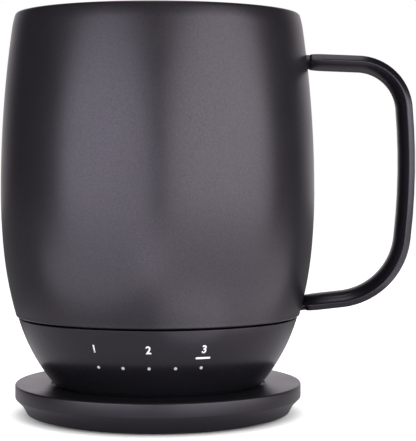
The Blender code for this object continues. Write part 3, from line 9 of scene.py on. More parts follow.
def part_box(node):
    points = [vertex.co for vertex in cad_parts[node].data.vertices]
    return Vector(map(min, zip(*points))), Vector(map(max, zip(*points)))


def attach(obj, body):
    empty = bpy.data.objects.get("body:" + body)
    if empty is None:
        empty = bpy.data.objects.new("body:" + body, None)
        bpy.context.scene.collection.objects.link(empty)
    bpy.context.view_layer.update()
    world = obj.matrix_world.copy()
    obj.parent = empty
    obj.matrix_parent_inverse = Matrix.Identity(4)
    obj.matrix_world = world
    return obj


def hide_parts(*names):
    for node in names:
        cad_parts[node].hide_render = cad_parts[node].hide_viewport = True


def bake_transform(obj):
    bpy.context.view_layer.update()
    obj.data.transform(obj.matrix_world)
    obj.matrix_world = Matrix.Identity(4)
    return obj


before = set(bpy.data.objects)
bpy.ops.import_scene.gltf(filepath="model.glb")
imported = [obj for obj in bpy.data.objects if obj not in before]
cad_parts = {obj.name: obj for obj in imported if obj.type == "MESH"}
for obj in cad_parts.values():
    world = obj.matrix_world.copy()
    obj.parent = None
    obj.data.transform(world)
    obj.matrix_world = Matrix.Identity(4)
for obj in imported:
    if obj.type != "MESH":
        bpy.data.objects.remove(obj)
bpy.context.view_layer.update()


# The camera stands where the photograph was taken: a long lens at the height of the mug's belly,
# a little to the right of the middle dot and looking slightly down. It was fitted to the outline.
MM = 0.001
PHOTO_WIDTH = 416
SENSOR_WIDTH = 36
FOCAL_PIXELS = 1507.7
CAMERA_DISTANCE = 459.67 * MM
CAMERA_HEIGHT = 76.91 * MM
CAMERA_AZIMUTH = math.radians(3.95)
CAMERA_TURN = math.radians(2.055)
CAMERA_PITCH = math.radians(2.25)


def shown(name, data):
    """New object of the scene, at the origin."""
    piece = bpy.data.objects.new(name, data)
    bpy.context.scene.collection.objects.link(piece)
    return piece


def around(azimuth, reach, height):
    """Place at an azimuth from -Y towards +X and a distance from the mug's axis."""
    return reach * np.sin(azimuth), -reach * np.cos(azimuth), height


camera_data = bpy.data.cameras.new("product_camera")
camera_data.sensor_fit = "HORIZONTAL"
camera_data.sensor_width = SENSOR_WIDTH
camera_data.lens = FOCAL_PIXELS * SENSOR_WIDTH / PHOTO_WIDTH
camera = shown("product_camera", camera_data)
camera.matrix_world = (
    Matrix.Translation(around(CAMERA_AZIMUTH, CAMERA_DISTANCE, CAMERA_HEIGHT))
    @ Matrix.Rotation(CAMERA_TURN, 4, "Z")
    @ Matrix.Rotation(math.pi / 2 - CAMERA_PITCH, 4, "X")
)
bpy.context.scene.camera = camera


# Dock pad: a die cut sheet of black silicone, glued under the dock's floor plate.
# It is what the whole product stands on, so its edge is only just rounded.
def linear(colour):
    """Linear colour of an sRGB hex: a channel is ((c + 0.055) / 1.055) to the power 2.4."""
    channels = np.array([int(colour[at:at + 2], 16) for at in (1, 3, 5)]) / 255
    values = np.where(channels > 0.04045, ((channels + 0.055) / 1.055) ** 2.4, channels / 12.92)
    return (*values.tolist(), 1.0)


def add(tree, kind, inputs=None, **settings):
    """Adds one node with its settings; an input is a value, or the socket that feeds it."""
    node = tree.nodes.new(kind)
    for name, value in settings.items():
        setattr(node, name, value)
    for name, value in (inputs or {}).items():
        if isinstance(value, bpy.types.NodeSocket):
            tree.links.new(value, node.inputs[name])
        else:
            node.inputs[name].default_value = value
    return node


def opened(material):
    """A material's node tree, its shader and the piece's own coordinates."""
    tree = material.node_tree
    place = add(tree, "ShaderNodeTexCoord").outputs["Object"]
    return tree, tree.nodes["Principled BSDF"], place


def ends(first, second):
    """Map Range inputs that carry one pair of values to another."""
    return dict(zip(("From Min", "From Max", "To Min", "To Max"), (*first, *second)))


# A noise texture stays between these two values but for its rarest peaks, and a half is the
# shader's own specular level.
NOISE_SPAN = (0.3, 0.7)
PLAIN_SHINE = 0.5


def grained(
    name, colours, roughness, grain, relief, patches, stretch=(1, 1, 1), sparkle=0.0, **sockets
):
    """Finish with a real grain, all of it in the piece's own coordinates.

    A fine noise of the grain's size in mm lifts the surface by the relief in mm, and moves the
    strength of its shine by the sparkle, of which the export keeps the mean. A broad noise of the
    patches' size in mm moves the colour and the roughness between their two values.
    """
    material = bpy.data.materials.new(name)
    material.use_nodes = True
    material.diffuse_color = linear(colours[0])
    tree, shader, place = opened(material)
    for socket, value in sockets.items():
        shader.inputs[socket.replace("_", " ")].default_value = value
    place = add(tree, "ShaderNodeMapping", {"Vector": place, "Scale": stretch}).outputs[0]
    noises = []
    for size, detail in ((patches, 3.0), (grain, 2.0)):
        noise = {"Vector": place, "Scale": 1 / (size * MM), "Detail": detail}
        noises.append(add(tree, "ShaderNodeTexNoise", noise).outputs[0])
    broad, fine = noises
    colour = {0: broad, 6: linear(colours[0]), 7: linear(colours[1])}
    colour = add(tree, "ShaderNodeMix", colour, data_type="RGBA").outputs[2]
    tree.links.new(colour, shader.inputs["Base Color"])
    rough = add(tree, "ShaderNodeMapRange", {"Value": broad, **ends(NOISE_SPAN, roughness)})
    tree.links.new(rough.outputs[0], shader.inputs["Roughness"])
    bump = add(tree, "ShaderNodeBump", {"Height": fine, "Distance": relief * MM})
    tree.links.new(bump.outputs[0], shader.inputs["Normal"])
    if sparkle:
        shine = ends(NOISE_SPAN, (PLAIN_SHINE - sparkle, PLAIN_SHINE + sparkle))
        shine = add(tree, "ShaderNodeMapRange", {"Value": fine, **shine})
        tree.links.new(shine.outputs[0], shader.inputs["Specular IOR Level"])
    return material


def rounded(corners, step=math.radians(15)):
    """Outline whose corners (x, y, round) become arcs tangent to both of their sides.

    The arc starts round times the tangent of half the turn before the corner, and its centre
    lies one round to the side that the outline turns to.
    """
    corners = np.array(corners, float)
    points = corners[:, :2]
    outline = []
    for before, here, after, size in zip(
        np.roll(points, 1, 0), points, np.roll(points, -1, 0), corners[:, 2]
    ):
        arrive = (here - before) / np.hypot(*(here - before))
        leave = (after - here) / np.hypot(*(after - here))
        turn = math.atan2(arrive[0] * leave[1] - arrive[1] * leave[0], arrive @ leave)
        if size == 0:
            outline.append(here[None])
            continue
        side = math.copysign(1, turn) * np.array([-arrive[1], arrive[0]])
        centre = here - arrive * size * math.tan(abs(turn) / 2) + side * size
        first = math.atan2(-side[1], -side[0])
        angles = first + np.linspace(0, turn, max(2, math.ceil(abs(turn) / step) + 1))
        outline.append(centre + size * np.stack([np.cos(angles), np.sin(angles)], 1))
    return np.vstack(outline)


WELD_DISTANCE = 0.0005 * MM
CREASE = math.radians(32)


def clean(mesh):
    """Closes seams and poles, turns the faces outwards and shades smooth between creases."""
    work = bmesh.new()
    work.from_mesh(mesh)
    bmesh.ops.remove_doubles(work, verts=work.verts, dist=WELD_DISTANCE)
    bmesh.ops.recalc_face_normals(work, faces=work.faces)
    work.to_mesh(mesh)
    work.free()
    mesh.shade_smooth()
    mesh.set_sharp_from_angle(angle=CREASE)


def woven(name, points, wrap_rows=True, capped=False):
    """Closed skin over a grid of points (rows, columns, 3): each four neighbours make a face.

    Columns always close on themselves. Rows do too, or their two ends get flat caps.
    """
    rows, columns = points.shape[:2]
    index = np.arange(rows * columns).reshape(rows, columns)
    low = index if wrap_rows else index[:-1]
    high = np.roll(index, -1, 0) if wrap_rows else index[1:]
    faces = np.stack([low, np.roll(low, -1, 1), np.roll(high, -1, 1), high], -1)
    faces = faces.reshape(-1, 4).tolist()
    if capped:
        faces += [index[0].tolist(), index[-1].tolist()]
    mesh = bpy.data.meshes.new(name)
    mesh.from_pydata(points.reshape(-1, 3).tolist(), [], faces)
    clean(mesh)
    return shown(name, mesh)


def turned(name, outline, centre=(0, 0), segments=160):
    """Solid of revolution: each outline point (radius, height) goes round an upright axis."""
    turn = np.linspace(0, 2 * np.pi, segments, endpoint=False)
    radius, height = np.asarray(outline).T
    x = centre[0] + np.outer(radius, np.cos(turn))
    y = centre[1] + np.outer(radius, np.sin(turn))
    z = np.repeat(height[:, None], segments, 1)
    return woven(name, np.stack([x, y, z], -1))


def disc(radius, low, high, low_round=0.0, high_round=0.0):
    """Outline of a round plate, pin or hole, with the rounds of its bottom and top edge."""
    return rounded([(0, low, 0), (radius, low, low_round), (radius, high, high_round), (0, high, 0)])


def fit(piece, material, body, slot, *nodes):
    """Gives a new piece its finish and the body that it rides on, and hides the nodes it stands for.
    The slot is not used.
    """
    piece.data.materials.clear()
    piece.data.materials.append(material)
    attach(piece, body)
    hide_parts(*nodes)


# Silicone off the press: dull, faintly powdery, with a soft leathery grain.
silicone = grained(
    "moulded_black_silicone", ("#161617", "#1c1c1e"), (0.58, 0.70), grain=0.3, relief=0.006, patches=7
)
PAD_ROUNDS = (0.25 * MM, 0.15 * MM)
pad_low, pad_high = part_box("dock_pad")
pad_outline = disc(pad_high.x, pad_low.z, pad_high.z, *PAD_ROUNDS)
fit(turned("grip_pad", pad_outline), silicone, "dock", "black_silicone", "dock_pad")


# Dock floor: a flat plate of moulded ABS that closes the dock from below, held by three screws
# whose heads the pad hides. ABS moulds with a fine spark eroded texture, satin to the eye.
def dress(material, *names):
    """Gives carried-over solids their finish through their own material slots."""
    for name in names:
        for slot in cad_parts[name].material_slots:
            slot.material = material


def finished(piece):
    """Mesh of a piece as its modifiers leave it."""
    bpy.context.view_layer.update()
    graph = bpy.context.evaluated_depsgraph_get()
    return bpy.data.meshes.new_from_object(piece.evaluated_get(graph))


def cut(piece, *cutters, operation="DIFFERENCE"):
    """Cuts pieces out of a piece, or joins them to it, and settles the result in its own mesh."""
    for cutter in cutters:
        modifier = piece.modifiers.new(cutter.name, "BOOLEAN")
        modifier.operation = operation
        modifier.solver = "EXACT"
        modifier.object = cutter
    mesh = finished(piece)
    piece.modifiers.clear()
    piece.data = mesh
    clean(mesh)
    for cutter in cutters:
        bpy.data.objects.remove(cutter)
    return piece


abs_plastic = grained(
    "spark_textured_black_abs", ("#1b1a1d", "#201f22"), (0.36, 0.44),
    grain=0.3, relief=0.004, patches=9,
)
SCREW_ANGLES = np.radians((30, 150, 270))
SCREW_SHANK = 0.9 * MM
SCREW_HEAD = 1.8 * MM
SCREW_HEAD_HEIGHT = 0.8 * MM
SCREW_GAP = 0.3 * MM
DOCK_SCREW_REACH = 34.7 * MM
PLATE_ROUNDS = (0.2 * MM, 0.1 * MM)
CUT_PAST = 1 * MM


def screw_places(reach):
    """The three places (x, y) of a plate's screws, at a distance from the middle."""
    return [(reach * math.cos(angle), reach * math.sin(angle)) for angle in SCREW_ANGLES]


def screw_seats(reach, bottom, top):
    """Room for three screws: a wide step for each head and a narrow one for each shank."""
    shoulder = bottom + SCREW_HEAD_HEIGHT + SCREW_GAP
    below, above = bottom - CUT_PAST, top + CUT_PAST
    seat = [(0, above), (SCREW_SHANK + SCREW_GAP, above), (SCREW_SHANK + SCREW_GAP, shoulder)]
    seat += [(SCREW_HEAD + SCREW_GAP, shoulder), (SCREW_HEAD + SCREW_GAP, below), (0, below)]
    places = enumerate(screw_places(reach))
    return [turned(f"seat_{at}", seat, place, segments=32) for at, place in places]


floor_low, floor_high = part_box("dock_floor")
plate_outline = disc(floor_high.x, floor_low.z, floor_high.z, *PLATE_ROUNDS)
floor_plate = turned("dock_floor_plate", plate_outline)
cut(floor_plate, *screw_seats(DOCK_SCREW_REACH, floor_low.z, floor_high.z))
fit(floor_plate, abs_plastic, "dock", "black_abs", "dock_floor")

# Zinc plated steel of the small screws: pale grey, slightly uneven where the plating grew.
zinc = grained(
    "zinc_plated_steel", ("#b4b6ba", "#9ea1a6"), (0.28, 0.40),
    grain=0.25, relief=0.004, patches=1.2, Metallic=1,
)
dress(zinc, "dock_screw_1", "dock_screw_2", "dock_screw_3")


# Inside the dock: a round board with a tab to the power jack, a steel ring that gives the light
# dock its weight, and a plastic bar that keeps the two sprung contacts upright on the board.
TRACK_PITCH = 1.27 * MM
TRACK_HALF_SHARE = 0.09
TRACK_PITCHES_LONG = 3.0

# Glass fibre board under green solder mask: copper tracks show through as a paler brick net.
green_board = grained(
    "green_solder_mask_board", ("#0d3b22", "#10482a"), (0.30, 0.42), grain=0.3, relief=0.01, patches=4
)
tree, shader, place = opened(green_board)
mask = shader.inputs["Base Color"].links[0].from_socket
tracks = {
    "Vector": place,
    "Scale": 1 / TRACK_PITCH,
    "Mortar Size": TRACK_HALF_SHARE,
    "Brick Width": TRACK_PITCHES_LONG,
    "Row Height": 1.0,
}
tracks = add(tree, "ShaderNodeTexBrick", tracks).outputs["Fac"]
colour = {0: tracks, 6: mask, 7: linear("#1f6b43")}
colour = add(tree, "ShaderNodeMix", colour, data_type="RGBA").outputs[2]
tree.links.new(colour, shader.inputs["Base Color"])
# Phosphated steel is dull and dark, mottled by its crystals. Glass filled nylon is matt
# charcoal, streaked along X, the way it flowed into the mould.
phosphated = grained(
    "phosphated_steel", ("#57575a", "#454548"), (0.45, 0.60),
    grain=0.3, relief=0.01, patches=1.5, Metallic=1,
)
filled_nylon = grained(
    "glass_filled_nylon", ("#333336", "#3e3e42"), (0.45, 0.60),
    grain=0.2, relief=0.008, patches=1.2, stretch=(0.3, 1, 1),
)
dress(green_board, "dock_board", "contact_board", "main_board", "led_board")
dress(phosphated, "ballast_ring")
dress(filled_nylon, "contact_carrier", "battery_cradle")


# Power inlet: a low round jack soldered to the board's tab, its collar behind a hole in the band.
# Black moulding compound outside, satin and faintly mottled, and a bright nickel plated pin whose
# shine is drawn out along its length.
JACK_HEIGHT = 6 * MM
JACK_BLOCK_TOP = 8.4 * MM
JACK_EDGE = 0.3 * MM
JACK_COLLAR = 2.5 * MM
JACK_COLLAR_LENGTH = 1.4 * MM
JACK_COLLAR_ROUND = 0.25 * MM
JACK_BORE = 1.8 * MM
JACK_BACK_WALL = 1.2 * MM
BORE_CHAMFER = 0.3 * MM
BORE_CUT_PAST = 0.1 * MM
INLET_PIN_ROUND = 0.4 * MM
jack_low, jack_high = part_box("power_jack")
pin_low, pin_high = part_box("power_jack_pin")
compound = grained(
    "black_moulding_compound", ("#161617", "#1d1d1f"), (0.42, 0.52),
    grain=0.25, relief=0.006, patches=2,
)
nickel = grained(
    "nickel_plate", ("#c9c4b8", "#bab4a6"), (0.20, 0.30),
    grain=0.25, relief=0.003, patches=2, stretch=(1, 0.2, 1), Metallic=1,
)


def laid_back(piece, height):
    """Turns an upright piece so that its axis runs along +Y at a height, in its own mesh."""
    piece.data.transform(Matrix.Translation((0, 0, height)) @ Matrix.Rotation(-math.pi / 2, 4, "X"))
    clean(piece.data)
    return piece


def brick(name, low, high, edge):
    """Box between two corners with a small flat on every edge."""
    mesh = bpy.data.meshes.new(name)
    work = bmesh.new()
    bmesh.ops.create_cube(work, size=1)
    bmesh.ops.scale(work, vec=high - low, verts=work.verts)
    bmesh.ops.translate(work, vec=(high + low) / 2, verts=work.verts)
    bmesh.ops.bevel(work, geom=work.edges, offset=edge, segments=3, profile=0.5, affect="EDGES")
    work.to_mesh(mesh)
    work.free()
    clean(mesh)
    return shown(name, mesh)


jack_root = jack_high.y - JACK_COLLAR_LENGTH
jack_body = brick("inlet_jack", jack_low, Vector((jack_high.x, jack_root, JACK_BLOCK_TOP)), JACK_EDGE)
collar = disc(JACK_COLLAR, jack_root - JACK_COLLAR_LENGTH, jack_high.y, 0.0, JACK_COLLAR_ROUND)
bore = [
    (0, jack_low.y + JACK_BACK_WALL),
    (JACK_BORE, jack_low.y + JACK_BACK_WALL),
    (JACK_BORE, jack_high.y - BORE_CHAMFER),
    (JACK_BORE + BORE_CHAMFER + BORE_CUT_PAST, jack_high.y + BORE_CUT_PAST),
    (0, jack_high.y + BORE_CUT_PAST),
]
cut(jack_body, laid_back(turned("collar", collar, segments=64), JACK_HEIGHT), operation="UNION")
cut(jack_body, laid_back(turned("bore", bore, segments=64), JACK_HEIGHT))
fit(jack_body, compound, "dock", "black_epoxy", "power_jack")

inlet_pin_outline = disc(pin_high.x, pin_low.y, pin_high.y, 0.0, INLET_PIN_ROUND)
inlet_pin = laid_back(turned("inlet_pin", inlet_pin_outline, segments=32), JACK_HEIGHT)
fit(inlet_pin, nickel, "dock", "nickel", "power_jack_pin")


# Sprung contacts: two turned brass barrels with domed plungers, gold plated, that press on the
# ring contacts under the mug. Handling leaves the gold a little uneven, never dull. The steel
# coil under each plunger stands on the barrel's floor.
CONTACT_PLACES = (11.25 * MM, -15.5 * MM)
CONTACT_BARREL = 1.55 * MM
BARREL_BORE = 1.15 * MM
BARREL_WALL = 0.4 * MM
BARREL_LIP_ROUND = 0.08 * MM
BARREL_TOP_ROUND = 0.12 * MM
BARREL_FOOT_ROUND = 0.1 * MM
LIP_BORE = 0.9 * MM
PLUNGER_TIP = 0.75 * MM
PLUNGER_DOME = 0.7 * MM
PLUNGER_SHOULDER = 1.0 * MM
PLUNGER_SHOULDER_HEIGHT = 0.6 * MM
COIL_WIRE = 0.2 * MM
COIL_PITCH = 0.38 * MM
COIL_STEPS = 28
WIRE_SIDES = 10


def spring_coil(name, centre, low, high):
    """Coil of round wire between two heights.

    The wire's middle goes round at the coil's radius and rises evenly with the angle. The points
    of its round section stand out along the coil's radius and up.
    """
    rise = high.z - low.z - COIL_WIRE
    turns = max(1, int(rise / COIL_PITCH))
    turn = np.linspace(0, 2 * np.pi * turns, COIL_STEPS * turns + 1)[:, None]
    section = np.linspace(0, 2 * np.pi, WIRE_SIDES, endpoint=False)
    reach = (high.y - low.y - COIL_WIRE) / 2 + COIL_WIRE / 2 * np.cos(section)
    height = low.z + COIL_WIRE / 2 + rise * turn / turn[-1] + COIL_WIRE / 2 * np.sin(section)
    points = np.stack([centre + reach * np.cos(turn), reach * np.sin(turn), height], -1)
    return woven(name, points, wrap_rows=False, capped=True)


def gold_plate(name):
    """Gold on brass: warm and bright, a little uneven where it is handled."""
    return grained(
        name, ("#e3bd6c", "#d2a552"), (0.16, 0.28), grain=0.25, relief=0.002, patches=1.5, Metallic=1
    )


gold = gold_plate("gold_plated_brass")
# Drawn steel wire: pale grey with a tight bright line along each turn.
spring_steel = grained(
    "drawn_spring_steel", ("#a4a6aa", "#8f9196"), (0.24, 0.34),
    grain=0.1, relief=0.001, patches=0.8, Metallic=1,
)
for at, place in enumerate(CONTACT_PLACES, start=1):
    low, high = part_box(f"contact_barrel_{at}")
    barrel_outline = [
        (LIP_BORE, high.z, BARREL_LIP_ROUND),
        (CONTACT_BARREL, high.z, BARREL_TOP_ROUND),
        (CONTACT_BARREL, low.z, BARREL_FOOT_ROUND),
        (0, low.z, 0),
        (0, low.z + BARREL_WALL, 0),
        (BARREL_BORE, low.z + BARREL_WALL, 0),
        (BARREL_BORE, high.z - BARREL_WALL, 0),
        (LIP_BORE, high.z - BARREL_WALL, 0),
    ]
    barrel = turned(f"contact_barrel_turned_{at}", rounded(barrel_outline), (place, 0), segments=48)
    fit(barrel, gold, "dock", "gold_plate", f"contact_barrel_{at}")
    low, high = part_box(f"contact_pin_{at}")
    plunger_outline = [
        (0, high.z, 0),
        (PLUNGER_TIP, high.z, PLUNGER_DOME),
        (PLUNGER_TIP, low.z + PLUNGER_SHOULDER_HEIGHT, 0),
        (PLUNGER_SHOULDER, low.z + PLUNGER_SHOULDER_HEIGHT, 0),
        (PLUNGER_SHOULDER, low.z, 0),
        (0, low.z, 0),
    ]
    plunger = turned(f"contact_plunger_{at}", rounded(plunger_outline), (place, 0), segments=48)
    fit(plunger, gold, f"contact_pin_{at}", "gold_plate", f"contact_pin_{at}")
    low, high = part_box(f"contact_spring_{at}")
    coil = spring_coil(f"contact_coil_{at}", place, low, high)
    coil.data.materials.append(spring_steel)
    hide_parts(f"contact_spring_{at}")
    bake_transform(coil)


# Dock shell: one moulding of satin black plastic with a shallow seat for the mug, an upright band
# and a sloped underside. A finely blasted tool leaves it evenly satin. The shine of this and the
# other outer blacks has a faint violet cast.
VIOLET_CAST = (0.91, 0.83, 1.0, 1.0)
SEAT_RADIUS = 32.43 * MM
SEAT_FLOOR = 8.9 * MM
SEAT_CEILING = 7.3 * MM
SEAT_WALL = 1.6 * MM
SEAT_FLOOR_ROUND = 0.3 * MM
SEAT_MOUTH_ROUND = 0.2 * MM
DOCK_CEILING = 8.1 * MM
DOCK_WALL = 1.5 * MM
BAND_BOTTOM = 5.5 * MM
BAND_TOP_ROUND = 0.5 * MM
BAND_BOTTOM_ROUND = 0.7 * MM
STEM_TOP = 3.4 * MM
STEM_RADIUS = 41.4 * MM
STEM_ROUND = 1.2 * MM
LIP_RADIUS = 40 * MM
LIP_OUTER_ROUND = 0.2 * MM
LIP_INNER_ROUND = 0.1 * MM
SLOPE_THICKNESS = 0.6 * MM
JACK_HOLE = 2.8 * MM
JACK_HOLE_REACH = (38 * MM, 45 * MM)
BARREL_HOLE = 1.85 * MM
dock_low, dock_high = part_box("dock_shell")
dock_radius = dock_high.x
dock_outline = [
    (0, SEAT_FLOOR, 0),
    (SEAT_RADIUS, SEAT_FLOOR, SEAT_FLOOR_ROUND),
    (SEAT_RADIUS, dock_high.z, SEAT_MOUTH_ROUND),
    (dock_radius, dock_high.z, BAND_TOP_ROUND),
    (dock_radius, BAND_BOTTOM, BAND_BOTTOM_ROUND),
    (STEM_RADIUS, STEM_TOP, STEM_ROUND),
    (LIP_RADIUS, dock_low.z, LIP_OUTER_ROUND),
    (LIP_RADIUS - DOCK_WALL, dock_low.z, LIP_INNER_ROUND),
    (STEM_RADIUS - DOCK_WALL, STEM_TOP + SLOPE_THICKNESS, 0),
    (dock_radius - DOCK_WALL, BAND_BOTTOM + SLOPE_THICKNESS, 0),
    (dock_radius - DOCK_WALL, DOCK_CEILING, 0),
    (SEAT_RADIUS + SEAT_WALL, DOCK_CEILING, 0),
    (SEAT_RADIUS + SEAT_WALL, SEAT_CEILING, 0),
    (0, SEAT_CEILING, 0),
]
dock_plastic = grained(
    "satin_moulded_dock_plastic", ("#0f0e11", "#121114"), (0.30, 0.35),
    grain=0.35, relief=0.0015, patches=12, Specular_Tint=VIOLET_CAST,
)
dock_top = turned("dock_moulding", rounded(dock_outline), segments=192)
jack_hole = turned("jack_hole", disc(JACK_HOLE, *JACK_HOLE_REACH), segments=64)
barrel_hole = disc(BARREL_HOLE, SEAT_CEILING - CUT_PAST, SEAT_FLOOR + CUT_PAST)
barrel_holes = [
    turned(f"barrel_hole_{at}", barrel_hole, (place, 0), segments=48)
    for at, place in enumerate(CONTACT_PLACES)
]
cut(dock_top, laid_back(jack_hole, JACK_HEIGHT), *barrel_holes)
fit(dock_top, dock_plastic, "dock", "satin_dock_plastic", "dock_shell")


# Switch under the mug: a dished silicone button over a small tact switch on the contact board.
# It is pressed from below, so its cap lies level with the cover.
BUTTON_RADIUS = 6 * MM
BUTTON_EDGE_ROUND = 0.3 * MM
DISH_DEPTH = 0.3 * MM
DISH_FLOOR = 3.4 * MM
DISH_FLOOR_ROUND = 3 * MM
DISH_MOUTH = 4.9 * MM
DISH_MOUTH_ROUND = 0.4 * MM
FLANGE_BOTTOM = 11.0 * MM
FLANGE_TOP = 11.5 * MM
NUB_RADIUS = 1.5 * MM
button_low, button_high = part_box("power_button")
button_outline = [
    (0, button_low.z + DISH_DEPTH, 0),
    (DISH_FLOOR, button_low.z + DISH_DEPTH, DISH_FLOOR_ROUND),
    (DISH_MOUTH, button_low.z, DISH_MOUTH_ROUND),
    (BUTTON_RADIUS, button_low.z, BUTTON_EDGE_ROUND),
    (BUTTON_RADIUS, FLANGE_BOTTOM, 0),
    (button_high.x, FLANGE_BOTTOM, 0),
    (button_high.x, FLANGE_TOP, 0),
    (NUB_RADIUS, FLANGE_TOP, 0),
    (NUB_RADIUS, button_high.z, 0),
    (0, button_high.z, 0),
]
push_button = turned("push_button", rounded(button_outline), segments=96)
fit(push_button, silicone, "button", "black_silicone", "power_button")
dress(compound, "switch_stem", "tact_switch", "controller_chip", "temperature_sensor")


# Bottom cover: an ABS plate with a hole for the button, two grooves for the ring contacts and
# three sunk screw seats. Three screws pull it against the gasket on the housing's ledge.
COVER_SCREW_REACH = 19.8 * MM
COVER_TOP_ROUND = 0.1 * MM
COVER_EDGE_ROUND = 0.25 * MM
RING_MIDDLES = (11.25 * MM, 15.5 * MM)
RING_HALF = 1.15 * MM
RING_GAP = 0.3 * MM
RING_ROUNDS = (0.12 * MM, 0.05 * MM)
GROOVE_DEPTH = 1.2 * MM
BUTTON_HOLE = 6.3 * MM
BUTTON_HOLE_ROUND = 0.2 * MM
FLANGE_POCKET = 7.9 * MM
FLANGE_POCKET_BOTTOM = 10.7 * MM
cover_low, cover_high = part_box("bottom_cover")
groove_roof = cover_low.z + GROOVE_DEPTH
cover_outline = [
    (cover_high.x, cover_high.z, COVER_TOP_ROUND),
    (cover_high.x, cover_low.z, COVER_EDGE_ROUND),
]
for middle in RING_MIDDLES[::-1]:
    outer, inner = middle + RING_HALF + RING_GAP, middle - RING_HALF - RING_GAP
    cover_outline += [
        (outer, cover_low.z, RING_ROUNDS[0]),
        (outer, groove_roof, 0),
        (inner, groove_roof, 0),
        (inner, cover_low.z, RING_ROUNDS[0]),
    ]
cover_outline += [
    (BUTTON_HOLE, cover_low.z, BUTTON_HOLE_ROUND),
    (BUTTON_HOLE, FLANGE_POCKET_BOTTOM, 0),
    (FLANGE_POCKET, FLANGE_POCKET_BOTTOM, 0),
    (FLANGE_POCKET, cover_high.z, 0),
]
cover_plate = turned("base_cover_plate", rounded(cover_outline))
cut(cover_plate, *screw_seats(COVER_SCREW_REACH, cover_low.z, cover_high.z))
fit(cover_plate, abs_plastic, "mug", "black_abs", "bottom_cover")


# Ring contacts: stamped brass rings, gold plated, level with the cover. The dock's plungers rub
# a fine matt circle into the middle of each.
RING_THICKNESS = 0.9 * MM
POST_RADIUS = 0.6 * MM
POST_ROOT = 0.3 * MM
WORN_RIM = (0.25 * MM, 0.5 * MM)
WORN_ROUGHNESS = 0.2


def ring_finish(name, middle):
    """Gold plate whose roughness rises on a worn circle, from the distance to the ring's middle."""
    material = gold_plate(name)
    tree, shader, place = opened(material)
    plain = shader.inputs["Roughness"].links[0].from_socket
    flat = add(tree, "ShaderNodeVectorMath", {0: place, 1: (1, 1, 0)}, operation="MULTIPLY").outputs[0]
    reach = add(tree, "ShaderNodeVectorMath", {0: flat}, operation="LENGTH").outputs["Value"]
    away = add(tree, "ShaderNodeMath", {0: reach, 1: middle}, operation="SUBTRACT").outputs[0]
    away = add(tree, "ShaderNodeMath", {0: away}, operation="ABSOLUTE").outputs[0]
    worn = ends(WORN_RIM, (WORN_ROUGHNESS, 0.0))
    worn = add(tree, "ShaderNodeMapRange", {"Value": away, **worn}).outputs[0]
    rough = add(tree, "ShaderNodeMath", {0: plain, 1: worn}, operation="ADD").outputs[0]
    tree.links.new(rough, shader.inputs["Roughness"])
    return material


def band(inner, outer, low, high, low_round, high_round):
    """Outline of a flat ring, with the rounds of its bottom and top edges."""
    corners = [(inner, low, low_round), (inner, high, high_round)]
    corners += [(outer, high, high_round), (outer, low, low_round)]
    return rounded(corners)


for which, middle in zip(("inner", "outer"), RING_MIDDLES):
    name = f"charge_ring_{which}"
    low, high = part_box(name)
    top = low.z + RING_THICKNESS
    outline = band(middle - RING_HALF, middle + RING_HALF, low.z, top, *RING_ROUNDS)
    ring = turned(f"{name}_stamping", outline)
    post = disc(POST_RADIUS, top - POST_ROOT, high.z)
    posts = [turned(f"post_{side}", post, (0, side * middle), segments=24) for side in (1, -1)]
    cut(ring, *posts, operation="UNION")
    finish = ring_finish(f"rubbed_gold_plate_{which}", middle)
    fit(ring, finish, "mug", "gold_plate", name)


# Cover screws: small pan head machine screws with a cross recess, driven up into the ledge. They
# are of the same zinc plated steel as the dock's.
SCREW_HEAD_ROUND = 0.4 * MM
SCREW_NECK_ROUND = 0.05 * MM
SCREW_TIP_ROUND = 0.2 * MM
RECESS_LENGTH = 2.0 * MM
RECESS_WIDTH = 0.45 * MM
RECESS_DEPTH = 0.45 * MM
RECESS_EDGE = 0.05 * MM
for at, place in enumerate(screw_places(COVER_SCREW_REACH), start=1):
    low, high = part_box(f"cover_screw_{at}")
    screw_outline = [
        (0, low.z, 0),
        (SCREW_HEAD, low.z, SCREW_HEAD_ROUND),
        (SCREW_HEAD, low.z + SCREW_HEAD_HEIGHT, SCREW_NECK_ROUND),
        (SCREW_SHANK, low.z + SCREW_HEAD_HEIGHT, 0),
        (SCREW_SHANK, high.z, SCREW_TIP_ROUND),
        (0, high.z, 0),
    ]
    screw = turned(f"pan_head_screw_{at}", rounded(screw_outline), place, segments=48)
    middle = Vector((*place, low.z))
    arms = []
    for sides in ((RECESS_LENGTH, RECESS_WIDTH), (RECESS_WIDTH, RECESS_LENGTH)):
        half = Vector((*sides, 2 * RECESS_DEPTH)) / 2
        arms.append(brick(f"recess_{len(arms)}", middle - half, middle + half, RECESS_EDGE))
    cut(screw, *arms)
    fit(screw, zinc, "mug", "screw_steel", f"cover_screw_{at}")


# Seals and foot: silicone rings at the seam and under the cover's edge, which stay hidden, and
# the foot ring that carries the mug on the dock or on a table.
dress(silicone, "seam_gasket", "cover_gasket")
FOOT_RING_INNER = 26.5 * MM
FOOT_ROUNDS = (0.35 * MM, 0.1 * MM)
foot_low, foot_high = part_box("foot_ring")
foot_outline = band(FOOT_RING_INNER, foot_high.x, foot_low.z, foot_high.z, *FOOT_ROUNDS)
fit(turned("foot_ring_moulding", foot_outline), silicone, "mug", "black_silicone", "foot_ring")


